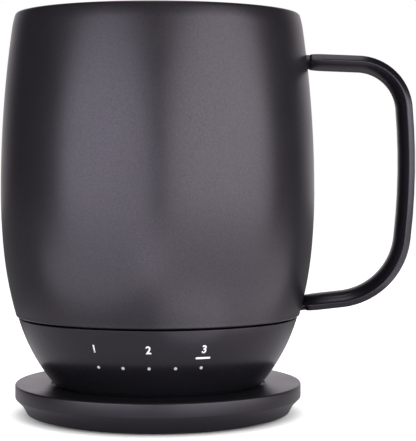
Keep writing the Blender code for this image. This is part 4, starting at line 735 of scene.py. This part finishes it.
# Cells and wiring in the base: three round cells in shrink film, welded nickel strips and a
# polyimide ribbon between the boards. None of it shows once the base is closed. The film is
# glossy and softly creased, the polyimide a glossy amber, the wires' silicone duller.
cell_film = grained(
    "blue_shrink_film", ("#1c4f86", "#173f6c"), (0.25, 0.36), grain=0.8, relief=0.02, patches=5
)
polyimide = grained(
    "amber_polyimide_film", ("#a8661f", "#8d5316"), (0.28, 0.38), grain=0.4, relief=0.004, patches=3
)
wire_red = grained(
    "red_silicone_wire", ("#8f1a17", "#a32520"), (0.42, 0.52), grain=0.3, relief=0.004, patches=2
)
dress(cell_film, "battery_cell_1", "battery_cell_2", "battery_cell_3")
dress(nickel, "cell_strip_left", "cell_strip_right")
dress(polyimide, "ribbon_cable", "heater_film")
dress(wire_red, "heater_lead_1", "heater_lead_2")


# Heater stack under the cup: film heater, lathe turned aluminium spreader, ceramic felt, and the
# ferrite cored inductor on the main board. It all lies between the two steel walls.
RINGS_APART = math.pi * MM
WAVE_BANDS = 20 / (2 * math.pi)
RING_DEPTH = 0.01 * MM

# Bare aluminium off the lathe has fine grooves in rings about the axis. A real tool leaves them far
# closer together, too fine to show. The texture draws its own number of bands in a unit of scale.
spreader_metal = grained(
    "turned_aluminium_spreader", ("#c9ccd0", "#b9bcc1"), (0.26, 0.36),
    grain=0.4, relief=0.002, patches=6, Metallic=1,
)
tree, shader, place = opened(spreader_metal)
rings = {"Vector": place, "Scale": 1 / (WAVE_BANDS * RINGS_APART), "Distortion": 0.3}
rings = add(tree, "ShaderNodeTexWave", rings, wave_type="RINGS", rings_direction="Z")
bump = add(tree, "ShaderNodeBump", {"Height": rings.outputs["Fac"], "Distance": RING_DEPTH})
tree.links.new(bump.outputs[0], shader.inputs["Normal"])
# The felt is off white, dead matt and layered. Ferrite is a dark, dull, speckled ceramic.
felt = grained(
    "ceramic_fibre_felt", ("#cbc7bc", "#b3aea1"), (0.88, 0.98),
    grain=0.5, relief=0.12, patches=3, stretch=(1, 1, 0.3),
)
ferrite = grained(
    "sintered_ferrite", ("#3b3b3f", "#2b2b2e"), (0.5, 0.65), grain=0.4, relief=0.02, patches=0.8
)
dress(spreader_metal, "heat_spreader")
dress(felt, "insulation_pad")
dress(ferrite, "power_inductor")


# Base housing: tapered ABS moulding below the seam, with a spigot that plugs into the steel
# shell, a groove for the foot ring, ledges for the boards and small windows for the lights.
shell_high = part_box("outer_shell")[1]
house_low, house_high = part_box("base_housing")
SEAM_HEIGHT = 30 * MM
SEAM_GAP = 0.6 * MM
SEAM_STEP = 0.45 * MM
BELLY_RADIUS = shell_high.y
BELLY_HEIGHT = 67 * MM
SHOULDER_HEIGHT = 116.7 * MM
# The body's arcs, from the belly up and from the belly down: bend radius, and height of the end.
UPPER_ARCS = ((344 * MM, SHOULDER_HEIGHT), (26 * MM, shell_high.z))
LOWER_ARCS = ((185 * MM, 51 * MM), (112 * MM, SEAM_HEIGHT))
FOOT_RADIUS = 31.7 * MM


def arc_wall(heights, radius, height, lean, arcs):
    """Radius and lean of a wall of tangent arcs at each height.

    On an arc of bend radius b that starts at lean s (the sine of the angle from upright), the
    lean grows by the distance over b, and the radius falls by b times the change in its cosine.
    """
    heights = np.asarray(heights, float)
    radii, leans = np.full_like(heights, radius), np.full_like(heights, lean)
    for bend, end in arcs:
        way = np.clip((heights - height) * np.sign(end - height), 0, None)
        here = way > 0
        grown = lean + np.minimum(way, abs(end - height)) / bend
        fall = bend * (math.sqrt(1 - lean**2) - np.sqrt(1 - grown**2))
        radii, leans = np.where(here, radius - fall, radii), np.where(here, grown, leans)
        end_lean = lean + abs(end - height) / bend
        radius -= bend * (math.sqrt(1 - lean**2) - math.sqrt(1 - end_lean**2))
        height, lean = end, end_lean
    return radii, leans


def body_wall(heights):
    """Radius and lean of the steel body: one chain of arcs above the belly, another below."""
    heights = np.asarray(heights, float)
    upper = arc_wall(heights, BELLY_RADIUS, BELLY_HEIGHT, 0.0, UPPER_ARCS)
    lower = arc_wall(heights, BELLY_RADIUS, BELLY_HEIGHT, 0.0, LOWER_ARCS)
    return tuple(np.where(heights > BELLY_HEIGHT, high, low) for high, low in zip(upper, lower))


seam_radius, seam_lean = (float(value) for value in body_wall(SEAM_HEIGHT))
base_chord = math.atan2(seam_radius - SEAM_STEP - FOOT_RADIUS, SEAM_HEIGHT - house_low.z)
base_bend = (SEAM_HEIGHT - house_low.z) / (math.sin(2 * base_chord - math.asin(seam_lean)) - seam_lean)


def base_radius(heights):
    """Radius of the base's wall: one arc that leaves the seam in line with the shell."""
    arcs = ((base_bend, house_low.z),)
    return arc_wall(heights, seam_radius - SEAM_STEP, SEAM_HEIGHT, seam_lean, arcs)[0]


def with_rounds(points):
    """Outline points (x, y) as corners (x, y, round) that stay sharp."""
    return np.column_stack([points, np.zeros(len(points))])


HOUSING_WALL = 2 * MM
SPIGOT_RADIUS = 41.54 * MM
SPIGOT_BORE = 38.64 * MM
SPIGOT_OUTER_ROUND = 0.3 * MM
SPIGOT_INNER_ROUND = 0.2 * MM
GASKET_GROOVE = (31.1 * MM, 33.1 * MM)
GASKET_GROOVE_DEPTH = 0.6 * MM
GASKET_GROOVE_TAPER = 0.1 * MM
SEAM_GROOVE_SLOPE = 1.4 * MM
SHOULDER_ROUND = 0.12 * MM
SHOULDER_ROOM = 0.3 * MM
FOOT_ROUND = 0.5 * MM
FOOT_ROOM = 0.9 * MM
FOOT_GROOVE = (26.2 * MM, 30.5 * MM)
FOOT_GROOVE_ROOF = 10.45 * MM
FOOT_GROOVE_ROUND = 0.12 * MM
COVER_WELL = 25.6 * MM
COVER_LEDGE = 12.1 * MM
CONTACT_OPENING = 17.0 * MM
CELL_FLOOR = 14.0 * MM
CELL_CEILING = 27 * MM
BOARD_LEDGE = 37.14 * MM
BOARD_LEDGE_REACH = (29.5 * MM, 30.8 * MM)
shoulder = SEAM_HEIGHT - SEAM_GAP / 2
wall_heights = np.linspace(shoulder - SHOULDER_ROOM, house_low.z + FOOT_ROOM, 28)
inner_heights = np.linspace(CELL_FLOOR, CELL_CEILING, 10)
groove_radius = SPIGOT_RADIUS - GASKET_GROOVE_DEPTH
spigot = [
    (SPIGOT_RADIUS, house_high.z, SPIGOT_OUTER_ROUND),
    (SPIGOT_RADIUS, GASKET_GROOVE[1], 0),
    (groove_radius, GASKET_GROOVE[1] - GASKET_GROOVE_TAPER, 0),
    (groove_radius, GASKET_GROOVE[0] + GASKET_GROOVE_TAPER, 0),
    (SPIGOT_RADIUS, GASKET_GROOVE[0], 0),
    # The groove at the seam slants inwards here, so that it shows as a thin dark line.
    (SPIGOT_RADIUS - SEAM_GROOVE_SLOPE, shoulder, 0),
    (float(base_radius(shoulder)), shoulder, SHOULDER_ROUND),
]
foot = [
    (FOOT_RADIUS, house_low.z, FOOT_ROUND),
    (FOOT_GROOVE[1], house_low.z, FOOT_GROOVE_ROUND),
    (FOOT_GROOVE[1], FOOT_GROOVE_ROOF, 0),
    (FOOT_GROOVE[0], FOOT_GROOVE_ROOF, 0),
    (FOOT_GROOVE[0], house_low.z, FOOT_GROOVE_ROUND),
    (COVER_WELL, house_low.z, FOOT_GROOVE_ROUND),
    (COVER_WELL, COVER_LEDGE, 0),
    (CONTACT_OPENING, COVER_LEDGE, 0),
    (CONTACT_OPENING, CELL_FLOOR, 0),
]
ledge = [
    (SPIGOT_BORE, CELL_CEILING, 0),
    (SPIGOT_BORE, BOARD_LEDGE_REACH[0], 0),
    (BOARD_LEDGE, BOARD_LEDGE_REACH[0], 0),
    (BOARD_LEDGE, BOARD_LEDGE_REACH[1], 0),
    (SPIGOT_BORE, BOARD_LEDGE_REACH[1], 0),
    (SPIGOT_BORE, house_high.z, SPIGOT_INNER_ROUND),
]
outside = with_rounds(np.column_stack([base_radius(wall_heights), wall_heights]))
inside = with_rounds(np.column_stack([base_radius(inner_heights) - HOUSING_WALL, inner_heights]))
housing_corners = np.vstack([spigot, outside, foot, inside, ledge])
# The housing's tool is finer than the cover's: deeper black, with a softer gloss.
housing_abs = grained(
    "spark_textured_housing_abs", ("#100f12", "#131215"), (0.24, 0.29),
    grain=0.35, relief=0.002, patches=14, Specular_Tint=VIOLET_CAST,
)
housing = turned("tapered_base_housing", rounded(housing_corners), segments=256)


# Lights: five frosted guides and a brighter bar, moulded in clear plastic with a white scatter.
# Each ends a hair proud of the housing, in a window with a fine dark gap round it.
DOT_ANGLES = np.radians(11.3) * np.arange(-2, 3)
DOT_RADIUS = 0.44 * MM
DOT_HEIGHT = 18.6 * MM
BAR_HEIGHT = 21.55 * MM
BAR_HALF_LENGTH = 2.2 * MM
BAR_HALF_WIDTH = 0.28 * MM
GUIDE_DEPTH = 2.6 * MM
GUIDE_SIDES = 40
WINDOW_GAP = 0.12 * MM
WINDOW_CUT_PAST = 4 * WINDOW_GAP
# A guide ends in a low crown: the share of its width that each row of points keeps, and how far
# the rows past the first stand proud of the wall.
CROWN_WIDTHS = np.array([1, 1, 0.995, 0.93, 0.0])
CROWN_HEIGHTS = np.array([0.02, 0.04, 0.05, 0.054]) * MM


def light_guide(name, angle, height, half_length, half_width, grow=0.0, past=0.0):
    """Guide through the housing's wall at an angle from -Y towards +X.

    Its section is a flat bar with round ends, grown on all sides. Each row of points is that
    section, moved out along the radius until it lies proud of the base's wall at its own height.
    """
    turn = np.linspace(0, 2 * np.pi, GUIDE_SIDES, endpoint=False)
    # Rounded, the cosine is nought at the top and the bottom, and those two points stay centred.
    across = np.sign(np.cos(turn).round(9)) * (half_length - half_width)
    across = across + (half_width + grow) * np.cos(turn)
    up = (half_width + grow) * np.sin(turn)
    shrink = CROWN_WIDTHS[:, None]
    lift = np.concatenate([[-GUIDE_DEPTH], CROWN_HEIGHTS])[:, None]
    rows_z = height + shrink * up
    reach = base_radius(rows_z) + lift + past
    side = shrink * across
    out = np.sqrt(reach**2 - side**2)
    x = out * math.sin(angle) + side * math.cos(angle)
    y = -out * math.cos(angle) + side * math.sin(angle)
    return woven(name, np.stack([x, y, rows_z], -1), wrap_rows=False, capped=True)


dot = (DOT_HEIGHT, DOT_RADIUS, DOT_RADIUS)
bar = (BAR_HEIGHT, BAR_HALF_LENGTH, BAR_HALF_WIDTH)
grown = (WINDOW_GAP, WINDOW_CUT_PAST)
windows = [light_guide(f"window_{at}", angle, *dot, *grown) for at, angle in enumerate(DOT_ANGLES)]
windows.append(light_guide("window_bar", DOT_ANGLES[-1], *bar, *grown))
cut(housing, *windows)
fit(housing, housing_abs, "mug", "black_abs", "base_housing")


def frosted(name, colours, glow):
    """Clear plastic with white scatter, lit from behind: even, milky, with a cool glow."""
    return grained(
        name, colours, (0.25, 0.35), grain=0.2, relief=0.002, patches=0.6,
        Emission_Color=linear("#eef1ff"), Emission_Strength=glow,
    )


lit_guide = frosted("frosted_lit_light_guide", ("#a2a3a9", "#adaeb3"), 0.05)
lit_bar = frosted("frosted_bright_level_bar", ("#c6c7ce", "#d2d3d8"), 0.15)
for at, angle in enumerate(DOT_ANGLES, start=1):
    guide = light_guide(f"dot_guide_{at}", angle, *dot)
    fit(guide, lit_guide, "mug", "white_lens", f"light_pipe_{at}")
guide = light_guide("level_bar_guide", DOT_ANGLES[-1], *bar)
fit(guide, lit_bar, "mug", "white_lens", "level_bar_lens")


# Heat scale: the plain numerals 1 to 3 above the first, third and fifth dot, pad printed in
# white ink. The ink film is 0.02 mm thick and follows the wall's curve.
NUMERAL_HEIGHT = 2.3 * MM
NUMERAL_FOOT = 23.1 * MM
INK_FILM = 0.02 * MM
INK_SPREAD = 0.09 * MM
FONT_DIGIT_SHARE = 0.73
# Pad printing ink dries chalky white, a little thin in places.
ink = grained(
    "white_pad_print_ink", ("#cdcdd3", "#dadade"), (0.45, 0.6), grain=0.2, relief=0.003, patches=0.8
)
for numeral, angle in zip("123", DOT_ANGLES[::2]):
    text = bpy.data.curves.new("numeral", "FONT")
    text.body = numeral
    text.align_x = "CENTER"
    text.size = NUMERAL_HEIGHT / FONT_DIGIT_SHARE
    text.offset = INK_SPREAD
    text.resolution_u = 6
    source = shown("numeral", text)
    mesh = finished(source)
    bpy.data.objects.remove(source)
    flat = np.empty(len(mesh.vertices) * 3)
    mesh.vertices.foreach_get("co", flat)
    across, up, _ = flat.reshape(-1, 3).T
    height = NUMERAL_FOOT + up
    radius = base_radius(height) + INK_FILM
    wrapped = np.stack(around(angle + across / radius, radius, height), -1)
    mesh.vertices.foreach_set("co", wrapped.ravel())
    mesh.update()
    digit = shown(f"scale_numeral_{numeral}", mesh)
    film = digit.modifiers.new("ink_film", "SOLIDIFY")
    film.thickness = INK_FILM
    film.offset = 1
    digit.data.materials.append(ink)
    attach(digit, "mug")


# Inner liner: deep drawn steel cup with a black fired coat, hung inside the shell's lip. The coat
# has no grain to speak of, so the inside of the cup takes soft, even highlights.
liner_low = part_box("inner_liner")[0]
WALL_SPACING = 2.0 * MM
LINER_WALL = 0.6 * MM
LINER_CORNER = 8.6 * MM
LIP = 0.95 * MM
LIP_TAIL = 0.6 * MM
LINER_GAP = 0.05 * MM
LINER_NECK = 1 * MM


def rolled_lip():
    """Centre (radius, height) of the shell's rolled lip and the angle where it leaves the wall.

    The lip's circle touches the wall's inner tangent, so the height where they meet depends on
    the wall's lean there, and the two are found by repeating the sum.
    """
    height = shell_high.z - LIP
    for _ in range(20):
        height = shell_high.z - LIP + LIP * float(body_wall(height)[1])
    radius, lean = (float(value) for value in body_wall(height))
    angle = math.asin(lean)
    return radius - LIP * math.cos(angle), shell_high.z - LIP, angle


lip_radius, lip_height, lip_angle = rolled_lip()
cup_mouth = lip_radius - LIP
liner_top = lip_height - LIP_TAIL - LINER_GAP
corner_top = liner_low.z + LINER_CORNER
cup_heights = np.linspace(SHOULDER_HEIGHT - LINER_NECK, corner_top, 40)
cup_radii = body_wall(cup_heights)[0] - WALL_SPACING
corner_middle = cup_radii[-1] - LINER_CORNER
bend = np.linspace(0, -np.pi / 2, 14)[1:]


def cup_side(inward):
    """One side of the liner from its top edge to its middle, moved inwards by a wall's thickness."""
    top = [(cup_mouth + LINER_WALL - inward, liner_top)]
    side = np.column_stack([cup_radii - inward, cup_heights])
    size = LINER_CORNER - inward
    corner = np.column_stack([corner_middle + size * np.cos(bend), corner_top + size * np.sin(bend)])
    return np.vstack([top, side, corner, [(0, liner_low.z + inward)]])


liner_outline = np.vstack([cup_side(LINER_WALL), cup_side(0.0)[::-1]])
fired_coat = grained(
    "black_fired_liner_coat", ("#1c1b1d", "#222124"), (0.28, 0.36), grain=0.4, relief=0.003, patches=10
)
liner = turned("drawn_cup_liner", liner_outline, segments=192)
fit(liner, fired_coat, "mug", "black_liner_coat", "inner_liner")


# Outer shell: spun steel with a rolled lip and an edge turned in at the seam, powder coated.
# The powder melts to a dark, slightly purple black, satin, with a fine even grain.
SHELL_WALL = 0.6 * MM
SKIRT_EDGE = 0.5 * MM
skirt_bottom = SEAM_HEIGHT + SEAM_GAP / 2
roll = np.linspace(np.pi, lip_angle, 16)
lip_points = np.column_stack([lip_radius + LIP * np.cos(roll), lip_height + LIP * np.sin(roll)])
meeting = lip_height + LIP * math.sin(lip_angle)
shell_heights = np.concatenate(
    [
        np.linspace(meeting, SHOULDER_HEIGHT, 8)[1:],
        np.linspace(SHOULDER_HEIGHT, BELLY_HEIGHT, 40)[1:],
        np.linspace(BELLY_HEIGHT, skirt_bottom + SKIRT_EDGE, 34)[1:],
    ]
)
shell_radii = body_wall(shell_heights)[0]
edge_radius = float(body_wall(skirt_bottom + SKIRT_EDGE)[0])
edge = np.linspace(0, -np.pi / 2, 7)[1:]
skirt_points = np.column_stack(
    [
        edge_radius - SKIRT_EDGE + SKIRT_EDGE * np.cos(edge),
        skirt_bottom + SKIRT_EDGE * (1 + np.sin(edge)),
    ]
)
hem_radius = edge_radius - 2 * SKIRT_EDGE
shell_outline = np.vstack(
    [
        [(cup_mouth, lip_height - LIP_TAIL)],
        lip_points,
        np.column_stack([shell_radii, shell_heights]),
        skirt_points,
        [(hem_radius, skirt_bottom), (hem_radius, skirt_bottom + SHELL_WALL)],
        np.column_stack([shell_radii - SHELL_WALL, shell_heights])[::-1][1:],
        [(cup_mouth + SHELL_WALL, lip_height), (cup_mouth + SHELL_WALL, lip_height - LIP_TAIL)],
    ]
)
powder_coat = grained(
    "satin_black_powder_coat", ("#161417", "#19171a"), (0.30, 0.34),
    grain=0.5, relief=0.004, patches=16, sparkle=0.07, Specular_Tint=VIOLET_CAST,
)
shell = turned("spun_outer_shell", shell_outline, segments=256)
fit(shell, powder_coat, "mug", "black_powder_coat", "outer_shell")


# Handle: cast strap, flat outside between two bevels and one round arc inside, welded to the shell
# at a narrow neck at each end. Its coat flows thinner than on the shell: darker and smoother.
HANDLE_HALF_WIDTH = 6 * MM
HANDLE_HALF_THICKNESS = 2.425 * MM
BEVEL_WIDTH = 1.4 * MM
BEVEL_DEPTH = 1.7 * MM
BEVEL_ROUND = 0.5 * MM
RIDGE_ROUND = 0.3 * MM
HANDLE_GAP = 0.05 * MM
# Heights where the strap leaves the shell, and its corners (x, z, round) from the top down.
HANDLE_ENDS = (106.75 * MM, 34.0 * MM)
HANDLE_CORNERS = (
    (73.15 * MM, 105.58 * MM, 14.3 * MM),
    (76.0 * MM, 73.45 * MM, 195 * MM),
    (72.0 * MM, 37.2 * MM, 20.7 * MM),
)
# The neck at each end: the share of the full section at each distance from the shell.
NECK_DISTANCES = np.array([-0.6, 0.6, 0.74, 0.84, 0.98, 1.4, 2.3, 3.4, 4.5]) * MM
NECK_SHARES = np.array([0.84, 0.84, 0.85, 0.9, 0.922, 0.945, 0.972, 0.99, 1.0])


def handle_line():
    """Centre line (x, z) of the strap with its size share: straight necks, then three arcs."""
    starts = [np.array([float(body_wall(height)[0]), height]) for height in HANDLE_ENDS]
    necks = []
    for start, corner in zip(starts, (HANDLE_CORNERS[0], HANDLE_CORNERS[-1])):
        step = np.array(corner[:2]) - start
        necks.append(start + NECK_DISTANCES[:, None] * step / np.hypot(*step))
    corners = [(*necks[0][-1], 0), *HANDLE_CORNERS, (*necks[1][-1], 0)]
    middle = rounded(corners, step=math.radians(2))[1:-1]
    line = np.vstack([necks[0], middle, necks[1][::-1]])
    shares = np.concatenate([NECK_SHARES, np.ones(len(middle)), NECK_SHARES[::-1]])
    return line, shares


def to_shell(points, direction):
    """Slides points along a direction until each lies a gap off the shell.

    A step is the distance still to go over the share of the step that is radial. It is repeated,
    as the wall's radius changes on the way.
    """
    for _ in range(12):
        reach = np.hypot(points[:, 0], points[:, 1])
        miss = reach - body_wall(points[:, 2])[0] - HANDLE_GAP
        along = (points[:, :2] @ direction[:2]) / reach
        points = points - (miss / along)[:, None] * direction
    return points


def strap_outline():
    """Section (outward, across): flat and bevels outside, inside an arc that joins the two ridges.

    An arc over a chord of half width w with rise h has the radius (w squared + h squared) / 2h.
    """
    rise = 2 * HANDLE_HALF_THICKNESS - BEVEL_DEPTH
    radius = (HANDLE_HALF_WIDTH**2 + rise**2) / (2 * rise)
    crown = math.asin(HANDLE_HALF_WIDTH / radius)
    angles = np.linspace(crown, -crown, 25)[1:-1]
    centre = radius - HANDLE_HALF_THICKNESS
    arc = np.column_stack([centre - radius * np.cos(angles), radius * np.sin(angles)])
    flat = HANDLE_HALF_WIDTH - BEVEL_WIDTH
    ridge = HANDLE_HALF_THICKNESS - BEVEL_DEPTH
    before = [(HANDLE_HALF_THICKNESS, flat, BEVEL_ROUND), (ridge, HANDLE_HALF_WIDTH, RIDGE_ROUND)]
    after = [(ridge, -HANDLE_HALF_WIDTH, RIDGE_ROUND), (HANDLE_HALF_THICKNESS, -flat, BEVEL_ROUND)]
    return rounded([*before, *with_rounds(arc), *after], step=math.radians(9))


strap_section = strap_outline()
line, shares = handle_line()
length = np.concatenate([[0], np.cumsum(np.hypot(*np.diff(line, axis=0).T))])
run = np.gradient(line, length, axis=0)
run /= np.hypot(*run.T)[:, None]
outward = np.column_stack([-run[:, 1], run[:, 0]])
thick = strap_section[None, :, 0] * shares[:, None]
strap = np.stack(
    [
        line[:, None, 0] + outward[:, None, 0] * thick,
        strap_section[None, :, 1] * shares[:, None],
        line[:, None, 1] + outward[:, None, 1] * thick,
    ],
    -1,
)
strap[0] = to_shell(strap[0], np.array([run[0, 0], 0, run[0, 1]]))
strap[-1] = to_shell(strap[-1], np.array([run[-1, 0], 0, run[-1, 1]]))
handle_coat = grained(
    "smooth_black_handle_coat", ("#0c0b0e", "#0f0e11"), (0.22, 0.27),
    grain=0.4, relief=0.0015, patches=14, Specular_Tint=VIOLET_CAST,
)
handle_piece = woven("strap_handle", strap, wrap_rows=False, capped=True)
fit(handle_piece, handle_coat, "mug", "black_powder_coat", "handle")


# Stage: a plain white table in a white room, under soft lamps. The eye sees both as white, and of
# the two only the room lights the mug, a little. Coats mirror, by light path, a table that dims
# away from the mug and a room that is dark but for the wall behind: the photograph's dark bands.
FLOOR_HALF = 1.5
FLOOR_DROP = 0.02 * MM
VIOLET_ROOM = (1.0, 0.945, 1.0, 1.0)
# The table's glow fades out under the dock, a painted shadow laid over the real one that the
# lamps cast, and mirrored it fades again further out. The wall's rim is the cosine of the angle
# from its middle. A glow of 1 is white.
PAINTED_SHADOW_RIM = (37 * MM, 48 * MM)
PAINTED_SHADOW_GLOW = 0.05
TABLE_GLOW = 0.8
SHEET_RIM = (80 * MM, 170 * MM)
SHEET_GLOW = (0.55, 0.12)
MIRRORED_PAINT = 0.15
WALL_WAY = (0.02, 1.0, 0)
WALL_RIM = (0.58, 1.0)
WALL_GLOW = (0.04, 1.0)
ROOM_FILL = 0.3
SMOOTH = {"interpolation_type": "SMOOTHSTEP"}


def by_ray(tree, eye, mirror, rest):
    """Strength that is one value for camera rays, another for glossy and transmission rays."""
    rays = add(tree, "ShaderNodeLightPath").outputs
    shiny = {0: rays["Is Glossy Ray"], 1: rays["Is Transmission Ray"]}
    shiny = add(tree, "ShaderNodeMath", shiny, operation="ADD", use_clamp=True).outputs[0]
    value = add(tree, "ShaderNodeMix", {0: shiny, 2: rest, 3: mirror}).outputs[0]
    return add(tree, "ShaderNodeMix", {0: rays["Is Camera Ray"], 2: value, 3: eye}).outputs[0]


def room_colour(tree):
    """White to the eye, and faintly violet where the glossy coats mirror it."""
    mirrored = add(tree, "ShaderNodeLightPath").outputs["Is Glossy Ray"]
    colours = {0: mirrored, 6: (1, 1, 1, 1), 7: VIOLET_ROOM}
    return add(tree, "ShaderNodeMix", colours, data_type="RGBA").outputs[2]


table_mesh = bpy.data.meshes.new("white_table")
table_corners = np.array([(-1, -1, 0), (1, -1, 0), (1, 1, 0), (-1, 1, 0)]) * FLOOR_HALF
table_corners[:, 2] -= FLOOR_DROP
table_mesh.from_pydata(table_corners.tolist(), [], [(0, 1, 2, 3)])
table = shown("white_table", table_mesh)
table_paint = grained(
    "matt_white_table", ("#e9e9e9", "#ececec"), (0.85, 0.95), grain=1, relief=0.0, patches=60
)
table_tree, table_shader, place = opened(table_paint)
table_tree.links.new(room_colour(table_tree), table_shader.inputs["Emission Color"])
table_shader.inputs["Specular IOR Level"].default_value = 0.0
reach = add(table_tree, "ShaderNodeVectorMath", {0: place}, operation="LENGTH").outputs["Value"]
# Painted shadow: the table's own glow drops near the dock's foot, where the dock would shade it.
painted_dock_shadow = {"Value": reach, **ends(PAINTED_SHADOW_RIM, (PAINTED_SHADOW_GLOW, 1.0))}
painted_dock_shadow = add(table_tree, "ShaderNodeMapRange", painted_dock_shadow, **SMOOTH).outputs[0]
glow = add(table_tree, "ShaderNodeMath", {0: painted_dock_shadow, 1: TABLE_GLOW}, operation="MULTIPLY")
sheet = {"Value": reach, **ends(SHEET_RIM, SHEET_GLOW)}
sheet = add(table_tree, "ShaderNodeMapRange", sheet, **SMOOTH).outputs[0]
dim = add(table_tree, "ShaderNodeMath", {0: painted_dock_shadow, 1: sheet}, operation="MULTIPLY")
shine = by_ray(table_tree, glow.outputs[0], dim.outputs[0], 0.0)
table_tree.links.new(shine, table_shader.inputs["Emission Strength"])
shade = by_ray(table_tree, 1.0, MIRRORED_PAINT, 1.0)
paint = table_shader.inputs["Base Color"].links[0].from_socket
paint = add(table_tree, "ShaderNodeVectorMath", {0: paint, "Scale": shade}, operation="SCALE")
table_tree.links.new(paint.outputs[0], table_shader.inputs["Base Color"])
table_mesh.materials.append(table_paint)

world = bpy.data.worlds.new("white_room")
bpy.context.scene.world = world
world.use_nodes = True
room_tree = world.node_tree
room = room_tree.nodes["Background"]
room_tree.links.new(room_colour(room_tree), room.inputs["Color"])
way = add(room_tree, "ShaderNodeTexCoord").outputs["Generated"]
way = add(room_tree, "ShaderNodeVectorMath", {0: way, 1: WALL_WAY}, operation="DOT_PRODUCT")
wall = {"Value": way.outputs["Value"], **ends(WALL_RIM, WALL_GLOW)}
wall = add(room_tree, "ShaderNodeMapRange", wall, **SMOOTH).outputs[0]
room_tree.links.new(by_ray(room_tree, 1.0, wall, ROOM_FILL), room.inputs["Strength"])


BOX_AIM = 0.12
CARD_AIM = 100
COOL = (0.98, 1.0, 1.02)
PLAIN = (1, 1, 1)
WARM = (1.01, 1.0, 0.985)


def softbox(name, azimuth, distance, height, size, radiance, aim, tint):
    """Oval soft light at an azimuth in degrees from the camera's side, lengths in metres.

    It faces the point of the mug's axis at the height aim. A lamp of area A that shines as
    brightly as the radiance gives pi times A times it in watts.
    """
    light = bpy.data.lights.new(name, "AREA")
    light.shape = "ELLIPSE"
    light.color = tint
    light.size, light.size_y = size
    light.energy = math.pi * (math.pi / 4 * size[0] * size[1]) * radiance
    lamp = shown(name, light)
    turn = CAMERA_AZIMUTH + math.radians(azimuth)
    lamp.location = around(turn, distance, height)
    toward = Vector((0, 0, aim)) - lamp.location
    lamp.rotation_euler = toward.to_track_quat("-Z", "Y").to_euler()
    lamp.visible_camera = False


# Two softboxes give the body its two broad highlights, and one above lights the rim. The cards
# lie on the table and look straight up: the lower body and the dock mirror them. After the name
# come azimuth, distance, height, size, radiance, aim and tint.
softbox("left_softbox", -37.5, 0.6, 0.11, (0.80, 0.49), 3.8, BOX_AIM, COOL)
softbox("right_softbox", 44.8, 0.6, 0.12, (0.98, 0.61), 4.15, BOX_AIM, WARM)
softbox("top_softbox", 0.0, 0.001, 0.75, (0.40, 0.40), 2.2, BOX_AIM, PLAIN)
softbox("left_card", -38, 0.30, 0.002, (0.50, 0.38), 1.85, CARD_AIM, COOL)
softbox("right_card", 45, 0.25, 0.002, (0.62, 0.34), 1.4, CARD_AIM, WARM)
softbox("front_card", 22, 0.10, 0.002, (0.08, 0.07), 1.0, CARD_AIM, PLAIN)
bpy.context.scene.view_settings.view_transform = "Standard"
